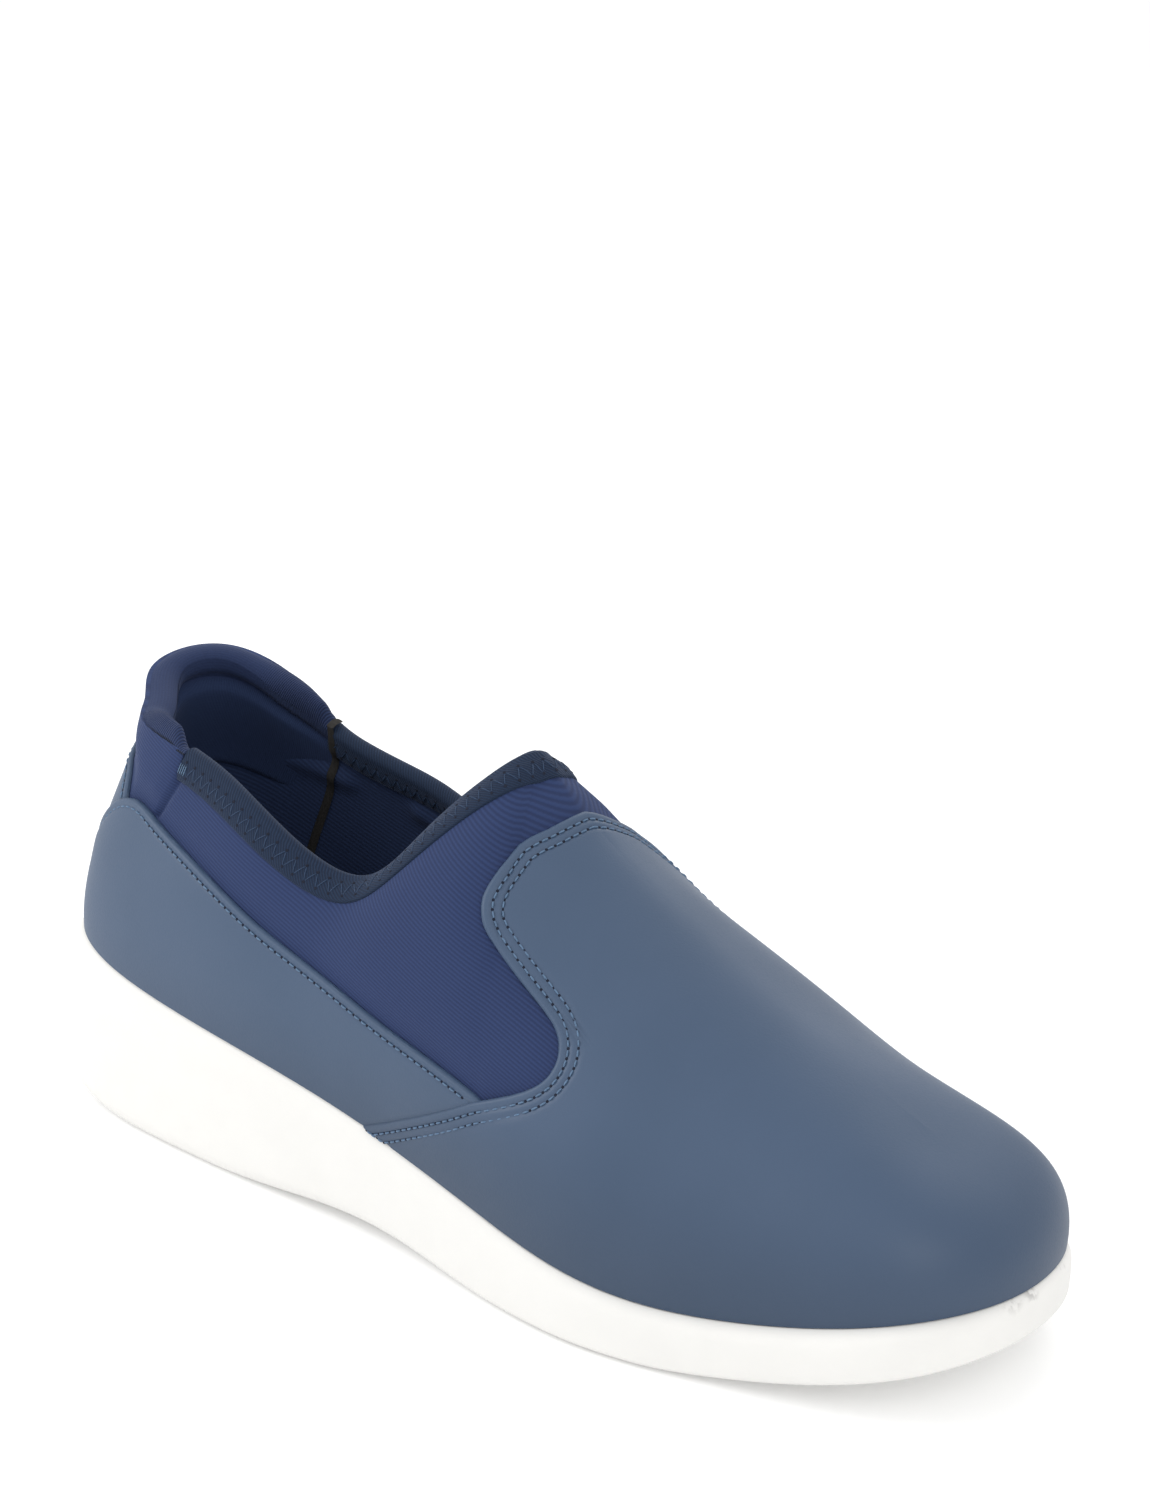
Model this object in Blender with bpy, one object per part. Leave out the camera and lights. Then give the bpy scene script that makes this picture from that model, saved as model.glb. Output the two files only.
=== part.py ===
# Slip-on sneaker for a right foot, empty and unbent, standing on heel and forefoot.
# +X runs from heel to toe, -Y is the outer side of the foot and +Z is up.

import bpy
import numpy as np

for old in list(bpy.data.objects):
    bpy.data.objects.remove(old, do_unlink=True)

# Named sizes in metres
LENGTH = 0.261
BALL_WIDTH = 0.094
TOP_HEIGHT = 0.105
RIM_HEIGHT = 0.043
TOE_SPRING = 0.0130
HEEL_BEVEL = 0.0052
ARCH_RISE = 0.0025
EDGE_ROUND = 0.0040
SEAM_GAP = 0.0003
UPPER_WALL = 0.0018
OVERLAY_GAP = 0.0005
LEATHER = 0.0012
PANEL_GAP = 0.0020
INSOLE_THICK = 0.0035
INSOLE_LIP = 0.0015
BINDING_WIDTH = 0.0060
BINDING_THICK = 0.0010
PAD_THICK = 0.0050
PAD_EDGE = 0.0020

# Shares of the length where toe, heel edge and arch leave the ground, and how hard they bend
TOE_LIFT = 0.75
TOE_BEND = 1.6
HEEL_LIFT = 0.14
HEEL_BEND = 1.8
ARCH_START = 0.24
ARCH_RUN = 0.36

# Shares of the loop that starts at the heel centre and runs round by the toe
THROAT = 0.28
PAD_END = 0.094
STAY_END = 0.078

# Plan rows round the sole, outer side first: x of LENGTH, y and rim step of BALL_WIDTH
PLAN = (
    (0.000, 0.000, 0.048),
    (0.018, -0.268, 0.050),
    (0.108, -0.396, 0.032),
    (0.307, -0.430, 0.021),
    (0.476, -0.446, 0.025),
    (0.663, -0.519, 0.036),
    (0.813, -0.444, 0.046),
    (0.953, -0.298, 0.047),
    (1.000, 0.025, 0.030),
    (0.957, 0.360, 0.030),
    (0.868, 0.478, 0.044),
    (0.716, 0.507, 0.043),
    (0.556, 0.394, 0.032),
    (0.379, 0.329, 0.024),
    (0.200, 0.345, 0.030),
    (0.026, 0.262, 0.044),
)

# Wall rows from heel to toe, alike on both sides:
# rim height of RIM_HEIGHT, lean and reach at the rim, lean and reach at the top
WALL = (
    (0.990, 4.8, 0.35, 0.0, 0.35),
    (1.010, 2.5, 0.35, 15.0, 0.34),
    (0.886, 5.3, 0.35, 24.5, 0.35),
    (0.745, 8.2, 0.39, 50.5, 0.43),
    (0.560, 8.2, 0.36, 64.5, 0.43),
    (0.370, 8.0, 0.35, 76.0, 0.40),
    (0.335, 6.6, 0.36, 84.0, 0.40),
    (0.495, 5.7, 0.41, 87.0, 0.46),
    (0.555, 5.0, 0.39, 90.0, 0.48),
)

# Opening rows round the collar, outer side first: x of LENGTH, y of BALL_WIDTH, z of TOP_HEIGHT
COLLAR = (
    (0.022, 0.026, 0.940),
    (0.064, -0.126, 0.912),
    (0.107, -0.244, 0.901),
    (0.186, -0.283, 0.872),
    (0.257, -0.306, 0.816),
    (0.327, -0.297, 0.740),
    (0.383, -0.257, 0.740),
    (0.428, -0.169, 0.882),
    (0.471, 0.018, 1.006),
    (0.435, 0.160, 0.839),
    (0.384, 0.236, 0.735),
    (0.328, 0.274, 0.721),
    (0.266, 0.287, 0.757),
    (0.176, 0.268, 0.806),
    (0.110, 0.278, 0.880),
    (0.045, 0.203, 0.954),
)

# Ridge rows from throat to toe: share of the run, x of LENGTH, y of BALL_WIDTH, z of TOP_HEIGHT
RIDGE = (
    (0.00, 0.471, 0.018, 1.006),
    (0.20, 0.553, 0.017, 0.868),
    (0.40, 0.642, 0.014, 0.744),
    (0.60, 0.730, 0.017, 0.633),
    (0.80, 0.814, 0.027, 0.546),
    (1.00, 0.881, 0.034, 0.473),
)

# Footbed rows: x of LENGTH, height of RIM_HEIGHT
FOOTBED = (
    (-0.05, 0.830),
    (0.10, 0.760),
    (0.30, 0.570),
    (0.48, 0.385),
    (0.64, 0.220),
    (0.78, 0.185),
    (0.90, 0.260),
    (1.05, 0.430),
)

# Side rows of the sole from rim to bottom edge: step out, height share, share of the edge round
SIDE = (
    (0.00, 1.000, 0.0),
    (0.42, 0.972, 0.0),
    (0.76, 0.890, 0.0),
    (0.94, 0.750, 0.0),
    (1.00, 0.520, 0.0),
    (1.00, 0.290, 0.0),
    (1.00, 0.120, 0.3),
    (1.00, 0.000, 1.0),
)

# Vamp edge rows from rim to ridge: height share, loop share
VAMP_EDGE = (
    (0.00, 0.231),
    (0.06, 0.241),
    (0.13, 0.254),
    (0.22, 0.273),
    (0.28, 0.284),
    (0.35, 0.295),
    (0.41, 0.303),
    (0.46, 0.3067),
    (0.52, 0.3067),
    (0.556, 0.302),
    (0.58, 0.291),
    (0.605, 0.280),
    (0.64, 0.2742),
    (0.69, 0.2715),
    (0.75, 0.2740),
    (0.82, 0.2798),
    (0.90, 0.288),
    (1.00, 0.297),
)

# Side panel rows from heel centre forward: loop share, height share
QUARTER_TOP = (
    (0.000, 0.300),
    (0.030, 0.315),
    (0.050, 0.360),
    (0.062, 0.460),
    (0.072, 0.600),
    (0.084, 0.692),
    (0.100, 0.688),
    (0.118, 0.677),
    (0.142, 0.671),
    (0.168, 0.646),
    (0.192, 0.598),
    (0.219, 0.489),
    (0.242, 0.376),
    (0.264, 0.300),
    (0.286, 0.262),
    (0.330, 0.225),
)

# Back stay rows from heel centre to its side tip: loop share, height share
STAY_TOP = (
    (0.000, 0.845),
    (0.030, 0.845),
    (0.050, 0.834),
    (0.063, 0.800),
    (0.075, 0.760),
    (0.085, 0.725),
)


def row_curve(stations, values, q):
    """Smooth curve through the rows of a table, level in bend at both ends."""
    x = np.asarray(stations, float)
    y = np.asarray(values, float)
    n = len(x)
    h = np.diff(x)
    a = np.eye(n)
    b = np.zeros(n)
    for i in range(1, n - 1):
        a[i, i - 1:i + 2] = (h[i - 1], 2 * (h[i - 1] + h[i]), h[i])
        b[i] = 6 * ((y[i + 1] - y[i]) / h[i] - (y[i] - y[i - 1]) / h[i - 1])
    m = np.linalg.solve(a, b)
    q = np.asarray(q, float)
    i = np.clip(np.searchsorted(x, q) - 1, 0, n - 2)
    s = q - x[i]
    t = x[i + 1] - q
    return ((m[i] * t ** 3 + m[i + 1] * s ** 3) / (6 * h[i])
            + (y[i] / h[i] - m[i] * h[i] / 6) * t
            + (y[i + 1] / h[i] - m[i + 1] * h[i] / 6) * s)


def loop_curve(values, u):
    """Smooth closed curve through rows spaced evenly round a loop."""
    n = len(values)
    k = np.arange(-6, n + 7)
    return row_curve(k / n, np.asarray(values, float)[k % n], np.asarray(u) % 1.0)


def mirrored(column, u):
    """Closed curve through rows that serve the outer and the inner side alike."""
    half = [row[column] for row in WALL]
    return loop_curve(half + half[-2:0:-1], u)


def column(table, index):
    return [row[index] for row in table]


def plan(u):
    x = loop_curve(column(PLAN, 0), u) * LENGTH
    y = loop_curve(column(PLAN, 1), u) * BALL_WIDTH
    return np.stack([x, y], -1)


def plan_normal(u):
    step = 1e-3
    run = plan(u + step) - plan(u - step)
    run = run / np.linalg.norm(run, axis=-1, keepdims=True)
    return np.stack([run[:, 1], -run[:, 0]], -1)


def rim_step(u):
    return loop_curve(column(PLAN, 2), u) * BALL_WIDTH


def rim_height(u):
    return mirrored(0, u) * RIM_HEIGHT


def floor_height(x):
    """Underside of the sole: flat under heel and ball, raised at arch, toe and heel edge."""
    s = x / LENGTH
    toe = TOE_SPRING * np.clip((s - TOE_LIFT) / (1 - TOE_LIFT), 0, None) ** TOE_BEND
    heel = HEEL_BEVEL * np.clip((HEEL_LIFT - s) / HEEL_LIFT, 0, None) ** HEEL_BEND
    arch = ARCH_RISE * np.sin(np.pi * np.clip((s - ARCH_START) / ARCH_RUN, 0, 1)) ** 2
    return toe + heel + arch


def footbed_height(x):
    return row_curve(column(FOOTBED, 0), column(FOOTBED, 1), x / LENGTH) * RIM_HEIGHT


def ridge_share(u):
    m = np.minimum(u, 1 - u)
    r = np.clip((m - THROAT) / (0.5 - THROAT), 0, 1)
    return 1 - (1 - r) ** 1.6


def ridge_point(r):
    sizes = (LENGTH, BALL_WIDTH, TOP_HEIGHT)
    return np.stack([row_curve(column(RIDGE, 0), column(RIDGE, i + 1), r) * sizes[i]
                     for i in range(3)], -1)


def top_point(u):
    """Upper end of each wall line: on the collar behind the throat, on the ridge ahead of it."""
    m = np.minimum(u, 1 - u)
    c = np.minimum(m, THROAT) / THROAT * 0.5
    c = np.where(u <= 0.5, c, 1 - c)
    sizes = (LENGTH, BALL_WIDTH, TOP_HEIGHT)
    collar = np.stack([loop_curve(column(COLLAR, i), c) * sizes[i] for i in range(3)], -1)
    return np.where((m < THROAT)[:, None], collar, ridge_point(ridge_share(u)))


def wall(u, v):
    """Outer face of the upper: u runs round the foot, v from sole rim to collar or ridge."""
    u = np.asarray(u, float) % 1.0
    v = np.asarray(v, float)[:, None]
    normal = plan_normal(u)
    foot = np.column_stack([plan(u) - normal * (rim_step(u) + SEAM_GAP)[:, None], rim_height(u)])
    top = top_point(u)
    chord = np.linalg.norm(top - foot, axis=1)
    lean = np.radians(mirrored(1, u))
    low = foot + (mirrored(2, u) * chord)[:, None] * np.column_stack(
        [normal * np.sin(lean)[:, None], np.cos(lean)])
    m = np.minimum(u, 1 - u)
    turn = np.clip((m - 0.14) / 0.16, 0, 1)
    turn = (turn * turn * (3 - 2 * turn))[:, None]
    across = foot[:, :2] - top[:, :2]
    across = across / np.maximum(np.linalg.norm(across, axis=1), 1e-9)[:, None]
    away = normal * (1 - turn) + across * turn
    away = away / np.linalg.norm(away, axis=1)[:, None]
    lean = np.radians(mirrored(3, u))
    high = top + (mirrored(4, u) * chord)[:, None] * np.column_stack(
        [away * np.sin(lean)[:, None], -np.cos(lean)])
    step = 1e-3
    r = np.clip(ridge_share(u), step, 1 - step)
    rise = ridge_point(r + step) - ridge_point(r - step)
    high[:, 2] += turn[:, 0] * rise[:, 2] / rise[:, 0] * (high[:, 0] - top[:, 0])
    w = 1 - v
    return foot * w ** 3 + 3 * low * v * w ** 2 + 3 * high * v ** 2 * w + top * v ** 3


def wall_normal(u, v):
    step = 2e-3
    u = np.asarray(u, float)
    v = np.clip(np.asarray(v, float), 0, 1 - step)
    along = wall(u + step, v) - wall(u - step, v)
    up = wall(u, v + step) - wall(u, v)
    n = np.cross(along, up)
    return n / np.linalg.norm(n, axis=1, keepdims=True)


def material(name, colour, roughness):
    mat = bpy.data.materials.new(name)
    mat.use_nodes = True
    shader = mat.node_tree.nodes["Principled BSDF"]
    shader.inputs["Base Color"].default_value = colour + (1.0,)
    shader.inputs["Roughness"].default_value = roughness
    shader.inputs["Metallic"].default_value = 0.0
    mat.diffuse_color = colour + (1.0,)
    return mat


WHITE = material("white_sole_foam", (0.86, 0.85, 0.82), 0.55)
NAVY = material("navy_leather", (0.075, 0.108, 0.172), 0.50)
KNIT = material("navy_stretch_fabric", (0.030, 0.045, 0.115), 0.90)
EDGE = material("navy_binding", (0.022, 0.036, 0.082), 0.90)
LINING = material("navy_lining", (0.016, 0.024, 0.060), 0.95)
BED = material("dark_insole", (0.020, 0.024, 0.040), 0.95)


def weld(points, faces):
    """Join points that coincide and drop the faces that vanish with them."""
    keys = {}
    index = np.zeros(len(points), int)
    kept = []
    for i, p in enumerate(points):
        key = tuple(np.round(p, 7))
        if key not in keys:
            keys[key] = len(kept)
            kept.append(p)
        index[i] = keys[key]
    clean = []
    for face in faces:
        ring = []
        for i in face:
            if index[i] not in ring:
                ring.append(index[i])
        if len(ring) > 2:
            clean.append(ring)
    return np.array(kept), clean, index


def grid_faces(rows, cols, closed):
    faces = []
    for r in range(rows - 1):
        for c in range(cols if closed else cols - 1):
            d = (c + 1) % cols
            faces.append((r * cols + c, r * cols + d, (r + 1) * cols + d, (r + 1) * cols + c))
    return faces


def triangles(points, faces):
    """Flat faces: each four-sided face is split along its shorter diagonal."""
    flat = []
    for face in faces:
        if len(face) != 4:
            flat.append(tuple(int(i) for i in face))
            continue
        a, b, c, d = (int(i) for i in face)
        if np.linalg.norm(points[a] - points[c]) <= np.linalg.norm(points[b] - points[d]):
            flat += [(a, b, c), (a, c, d)]
        else:
            flat += [(a, b, d), (b, c, d)]
    return flat


def make(name, points, faces, mat):
    points, faces, _ = weld(points, faces)
    mesh = bpy.data.meshes.new(name)
    mesh.from_pydata([tuple(p) for p in points], [], triangles(points, faces))
    mesh.materials.append(mat)
    mesh.shade_smooth()
    mesh.set_sharp_from_angle(angle=np.radians(38))
    ob = bpy.data.objects.new(name, mesh)
    bpy.context.scene.collection.objects.link(ob)
    return ob


def vertex_normals(points, faces):
    total = np.zeros_like(points)
    for face in faces:
        ring = points[list(face)]
        area = np.zeros(3)
        for i in range(1, len(face) - 1):
            area += np.cross(ring[i] - ring[0], ring[i + 1] - ring[0])
        for i in face:
            total[i] += area
    return total / np.maximum(np.linalg.norm(total, axis=1), 1e-12)[:, None]


def shell(name, points, faces, outer, inner, mat):
    """Closed panel between two offsets of one sheet, measured along its normals."""
    outer = np.broadcast_to(outer, len(points))
    inner = np.broadcast_to(inner, len(points))
    sheet, faces, index = weld(points, faces)
    out = np.zeros(len(sheet))
    inn = np.zeros(len(sheet))
    out[index] = outer
    inn[index] = inner
    normal = vertex_normals(sheet, faces)
    n = len(sheet)
    both = np.vstack([sheet + normal * out[:, None], sheet + normal * inn[:, None]])
    edges = {}
    for face in faces:
        for a, b in zip(face, face[1:] + face[:1]):
            edges[(a, b)] = True
    solid = [list(f) for f in faces] + [[i + n for i in reversed(f)] for f in faces]
    for a, b in edges:
        if (b, a) not in edges:
            solid.append([b, a, a + n, b + n])
    return make(name, both, solid, mat)


def lofted(name, loops, mat):
    """Closed body through loops that start and end on a line the two sides share."""
    count = len(loops[0])
    points = np.vstack(loops)
    return make(name, points, grid_faces(len(loops), count, True), mat)


def spine(edge, pull):
    """Middle line under a loop, each point shared by the two sides that face it."""
    count = len(edge)
    other = edge[(-np.arange(count)) % count]
    mid = (edge + other) / 2
    mid[:, 0] = LENGTH * 0.5 + (mid[:, 0] - LENGTH * 0.5) * pull
    return mid


def capped(edge, pull, shares, height):
    """Loops from an edge to its middle line, laid on a height that depends on x."""
    mid = spine(edge, pull)
    loops = []
    for s in shares:
        flat = edge[:, :2] * (1 - s) + mid[:, :2] * s
        loops.append(np.column_stack([flat, height(flat[:, 0], s)]))
    return loops


# Loop shares with more lines where heel and toe turn, one at each side of the throat
def loop_lines(count):
    t = np.arange(count) / count
    t = t - 0.020 * np.sin(4 * np.pi * t)
    for stop in (THROAT, 1 - THROAT):
        t[np.argmin(np.abs(t - stop))] = stop
    return t


ROUND = loop_lines(76)

# Height shares of the upper's rows
WALL_LEVELS = (0.0, 0.09, 0.18, 0.27, 0.37, 0.47, 0.57, 0.67, 0.76, 0.84, 0.91, 0.96, 1.0)


# Moulded sole with its cup, wedge, arch and toe spring
def build_sole():
    u = ROUND
    edge = plan(u)
    normal = plan_normal(u)
    step = rim_step(u)
    rim = rim_height(u)
    low = floor_height(edge[:, 0])
    side = []
    for out, up, turn in SIDE:
        inset = step * (1 - out) + EDGE_ROUND * turn
        flat = edge - normal * inset[:, None]
        ground = floor_height(flat[:, 0]) if up == 0 else low
        side.append(np.column_stack([flat, ground + (rim - ground) * up]))
    bottom = capped(side[-1], 0.80, (1.0, 0.66, 0.33), lambda x, s: floor_height(x))
    cup = edge - normal * step[:, None]
    cup_edge = np.column_stack([cup, footbed_height(cup[:, 0])])
    bed = capped(cup_edge, 0.80, (0.0, 0.4, 1.0), lambda x, s: footbed_height(x))
    lofted("sole", bottom + side[::-1] + bed, WHITE)


# Insole with a raised lip, resting in the cup inside the upper
def build_insole():
    u = loop_lines(40)
    inset = rim_step(u) + 2 * SEAM_GAP + UPPER_WALL + SEAM_GAP
    edge = plan(u) - plan_normal(u) * inset[:, None]
    edge = np.column_stack([edge, footbed_height(edge[:, 0])])
    under = capped(edge, 0.78, (1.0, 0.5, 0.0), lambda x, s: footbed_height(x) + SEAM_GAP)
    over = capped(edge, 0.78, (0.0, 0.18, 0.55, 1.0),
                  lambda x, s: footbed_height(x) + SEAM_GAP + INSOLE_THICK
                  + INSOLE_LIP * (1 - s) ** 4)
    lofted("insole", under + over, BED)


# Hollow upper: one stretch bootie from inside the cup to collar and ridge
def build_upper():
    u = ROUND
    rows = []
    foot = wall(u, np.zeros(len(u)))
    skirt = footbed_height(foot[:, 0]) + 2 * SEAM_GAP
    for s in (0.0, 0.85):
        rows.append(np.column_stack([foot[:, :2], skirt + (foot[:, 2] - skirt) * s]))
    for v in WALL_LEVELS:
        rows.append(wall(u, np.full(len(u), v)))
    points = np.vstack(rows)
    faces = grid_faces(len(rows), len(u), True)
    shell("upper", points, faces, 0.0, -UPPER_WALL, KNIT)


def vamp_edge(v):
    return row_curve(column(VAMP_EDGE, 0), column(VAMP_EDGE, 1), v)


def quarter_top(u):
    return row_curve(column(QUARTER_TOP, 0), column(QUARTER_TOP, 1), u)


# Leather vamp over ridge and toe
def build_vamp():
    levels = (0.008, 0.045) + WALL_LEVELS[1:]
    shared = ROUND[(ROUND > 0.335) & (ROUND <= 0.5)]
    rows = []
    for v in levels:
        edge = np.linspace(vamp_edge(v), shared[0], 9)
        left = np.concatenate([edge, shared[1:]])
        u = np.concatenate([left, 1 - left[-2::-1]])
        rows.append(wall(u, np.full(len(u), v)))
    points = np.vstack(rows)
    faces = grid_faces(len(rows), len(rows[0]), False)
    shell("vamp", points, faces, OVERLAY_GAP + LEATHER, OVERLAY_GAP, NAVY)


def quarter_sheet():
    """Loop and height shares of a side panel, from the heel centre to the vamp."""
    rim = 0.008
    levels = np.linspace(0, 1, 8)
    shares = np.linspace(0, 1, 21)
    start = PANEL_GAP / 2 / LENGTH * 0.45
    stop_gap = PANEL_GAP / LENGTH * 0.45
    us = []
    vs = []
    for w in levels:
        low = start
        high = 0.34
        for _ in range(30):
            mid = (low + high) / 2
            v = rim + w * (quarter_top(mid) - rim)
            if mid < vamp_edge(v) - stop_gap:
                low = mid
            else:
                high = mid
        u = start + (low - start) * shares
        us.append(u)
        vs.append(rim + w * (quarter_top(u) - rim))
    return np.array(us), np.array(vs)


# Leather side panels, outer and inner
def build_quarters():
    us, vs = quarter_sheet()
    faces = grid_faces(us.shape[0], us.shape[1], False)
    outer = wall(us.ravel(), vs.ravel())
    shell("quarter_outer", outer, faces, OVERLAY_GAP + LEATHER, OVERLAY_GAP, NAVY)
    inner = wall(1 - us.ravel(), vs.ravel())
    turned = [tuple(reversed(f)) for f in faces]
    shell("quarter_inner", inner, turned, OVERLAY_GAP + LEATHER, OVERLAY_GAP, NAVY)


# Leather back stay above the side panels
def build_back_stay():
    u = np.linspace(-STAY_END, STAY_END, 25)
    m = np.abs(u)
    low = quarter_top(m) + 0.012
    high = row_curve(column(STAY_TOP, 0), column(STAY_TOP, 1), m)
    rows = [wall(u, low + (high - low) * s) for s in (0.0, 0.35, 0.7, 1.0)]
    faces = grid_faces(len(rows), len(u), False)
    shell("back_stay", np.vstack(rows), faces, OVERLAY_GAP + LEATHER, OVERLAY_GAP, NAVY)


# Padded lining inside the heel collar
def build_collar_pad():
    u = np.linspace(-PAD_END, PAD_END, 25)
    levels = (0.55, 0.62, 0.72, 0.82, 0.91, 0.97, 1.0)
    points = []
    thick = []
    for v in levels:
        points.append(wall(u, np.full(len(u), v)))
        swell = np.sin(np.pi * np.clip((v - 0.55) / 0.75, 0, 1)) ** 0.8
        ends = np.clip((PAD_END - np.abs(u)) / PAD_END * 3, 0, 1) ** 0.5
        thick.append(PAD_EDGE + (PAD_THICK - PAD_EDGE) * swell * ends)
    back = -(UPPER_WALL + SEAM_GAP)
    faces = grid_faces(len(levels), len(u), False)
    shell("collar_pad", np.vstack(points), faces, back, back - np.concatenate(thick), LINING)


# Elastic binding over the outer face and the edge of the opening, from ear to ear of the collar
def build_binding():
    start = PAD_END + 0.002
    near = ROUND[(ROUND > start + 0.003) & (ROUND < THROAT - 0.004)]
    half = np.concatenate([[start], near, [THROAT - 0.0015]])
    u = np.concatenate([half, 1 - half[::-1]])
    top = wall(u, np.ones(len(u)))
    step = 0.01
    speed = np.linalg.norm(top - wall(u, np.full(len(u), 1 - step)), axis=1) / step
    out = 2 * SEAM_GAP
    thick = BINDING_THICK
    profile = (
        (BINDING_WIDTH, out),
        (BINDING_WIDTH, out + thick),
        (BINDING_WIDTH * 0.5, out + thick),
        (0.0, out + thick),
        (-(out + thick * 0.7), out + thick * 0.3),
        (-(out + thick), -UPPER_WALL * 0.5),
        (-(out + thick * 0.8), -UPPER_WALL),
        (-out * 1.5, -UPPER_WALL),
        (-out, out * 0.5),
        (0.0, out),
        (BINDING_WIDTH * 0.5, out),
    )
    edge_normal = wall_normal(u, np.ones(len(u)))
    fall = top - wall(u, np.full(len(u), 1 - step))
    fall = fall / np.linalg.norm(fall, axis=1)[:, None]
    ridge = ridge_point(np.array([0.0, step]))
    run = np.linalg.norm(ridge[1] - ridge[0])
    ahead = (ridge[1] - ridge[0]) / run
    above = np.array([-ahead[2], 0.0, ahead[0]]) / np.hypot(ahead[0], ahead[2])
    middle = len(half)
    peak = above * SEAM_GAP
    rows = []
    for down, lift in profile:
        if down > 0:
            v = 1 - down / speed
            row = wall(u, v) + wall_normal(u, v) * lift
            front = ridge_point(np.array([down / run * step]))[0] + above * lift
        else:
            row = top - fall * down + edge_normal * lift
            front = ridge[0] + ahead * down + above * lift
        rows.append(np.insert(row, middle, front + peak, axis=0))
    count = len(u) + 1
    ring = len(profile)
    points = np.vstack(rows)
    faces = []
    for r in range(ring):
        s = (r + 1) % ring
        for c in range(count - 1):
            faces.append((r * count + c, r * count + c + 1, s * count + c + 1, s * count + c))
    faces.append(tuple(r * count for r in range(ring)))
    faces.append(tuple(r * count + count - 1 for r in reversed(range(ring))))
    make("topline_binding", points, faces, EDGE)


build_sole()
build_insole()
build_upper()
build_vamp()
build_quarters()
build_back_stay()
build_collar_pad()
build_binding()

# Origin under the middle of the outline
corners = np.array([v.co[:] for ob in bpy.data.objects for v in ob.data.vertices])
middle = (corners.min(axis=0) + corners.max(axis=0)) / 2
for ob in bpy.data.objects:
    for v in ob.data.vertices:
        v.co.x -= middle[0]
        v.co.y -= middle[1]
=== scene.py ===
# %% [markdown]
# A slip-on sneaker has few parts, so every surface shows. The solids come from the packed
# model. They give size, place and collision, and this script dresses them. Each visible
# piece is drawn again at a fine pitch from the same last, so it sits where its solid sits.

# %% Load the solids
import bpy
import math
import numpy as np
from mathutils import Matrix, Vector
from mathutils.bvhtree import BVHTree
from mathutils.kdtree import KDTree


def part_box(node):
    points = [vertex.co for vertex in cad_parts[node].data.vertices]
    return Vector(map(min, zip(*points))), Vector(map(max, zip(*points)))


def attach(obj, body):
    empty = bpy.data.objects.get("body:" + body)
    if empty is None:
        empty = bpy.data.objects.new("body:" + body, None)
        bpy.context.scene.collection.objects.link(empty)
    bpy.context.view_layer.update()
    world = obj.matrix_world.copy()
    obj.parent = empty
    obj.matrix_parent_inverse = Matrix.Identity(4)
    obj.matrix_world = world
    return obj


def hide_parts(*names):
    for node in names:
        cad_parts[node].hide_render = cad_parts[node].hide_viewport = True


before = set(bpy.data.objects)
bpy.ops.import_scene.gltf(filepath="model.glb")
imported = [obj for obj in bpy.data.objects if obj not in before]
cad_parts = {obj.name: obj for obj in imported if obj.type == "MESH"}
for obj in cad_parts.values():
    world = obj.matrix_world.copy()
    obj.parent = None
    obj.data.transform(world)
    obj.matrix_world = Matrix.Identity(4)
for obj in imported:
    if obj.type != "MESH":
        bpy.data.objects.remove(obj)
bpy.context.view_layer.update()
SOLIDS = sorted(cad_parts)
print("solids", SOLIDS)

# %% [markdown]
# The last is the foot-shaped block that a shoe is made on. Here it is a set of named sizes
# and short tables, a row for each section, the same as in the source of the solids. Smooth
# curves run through the rows, so the fine meshes follow the very form of the solids.

# %% Sizes and tables of the last
LENGTH = 0.261
BALL_WIDTH = 0.094
TOP_HEIGHT = 0.105
RIM_HEIGHT = 0.043
TOE_SPRING = 0.0130
HEEL_BEVEL = 0.0052
ARCH_RISE = 0.0025
EDGE_ROUND = 0.0040
SEAM_GAP = 0.0003
UPPER_WALL = 0.0018
OVERLAY_GAP = 0.0003
LEATHER = 0.0013
TOE_LIFT = 0.75
TOE_BEND = 1.6
HEEL_LIFT = 0.14
HEEL_BEND = 1.8
ARCH_START = 0.24
ARCH_RUN = 0.36
CROWN = 0.007
THROAT = 0.28
PAD_END = 0.094
STAY_END = 0.085
QUARTER_END = 0.33
MM = 0.001
SHARE_STEP = 1e-3

# Plan rows round the sole, outer side first: x of LENGTH, y and rim step of BALL_WIDTH
PLAN = (
    (0.000, 0.000, 0.048),
    (0.018, -0.268, 0.050),
    (0.108, -0.396, 0.032),
    (0.307, -0.430, 0.021),
    (0.476, -0.446, 0.025),
    (0.663, -0.519, 0.036),
    (0.813, -0.444, 0.046),
    (0.953, -0.298, 0.047),
    (1.000, 0.025, 0.030),
    (0.957, 0.360, 0.030),
    (0.868, 0.478, 0.044),
    (0.716, 0.507, 0.043),
    (0.556, 0.394, 0.032),
    (0.379, 0.329, 0.024),
    (0.200, 0.345, 0.030),
    (0.026, 0.262, 0.044),
)

# Wall rows from heel to toe, alike on both sides:
# rim height of RIM_HEIGHT, lean and reach at the rim, lean and reach at the top
WALL = (
    (0.990, 4.8, 0.35, 0.0, 0.35),
    (1.010, 2.5, 0.35, 15.0, 0.34),
    (0.886, 5.3, 0.35, 24.5, 0.35),
    (0.745, 8.2, 0.39, 50.5, 0.43),
    (0.560, 8.2, 0.36, 64.5, 0.43),
    (0.370, 8.0, 0.35, 76.0, 0.40),
    (0.335, 6.6, 0.36, 84.0, 0.40),
    (0.495, 5.7, 0.41, 87.0, 0.46),
    (0.555, 5.0, 0.39, 90.0, 0.48),
)

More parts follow.
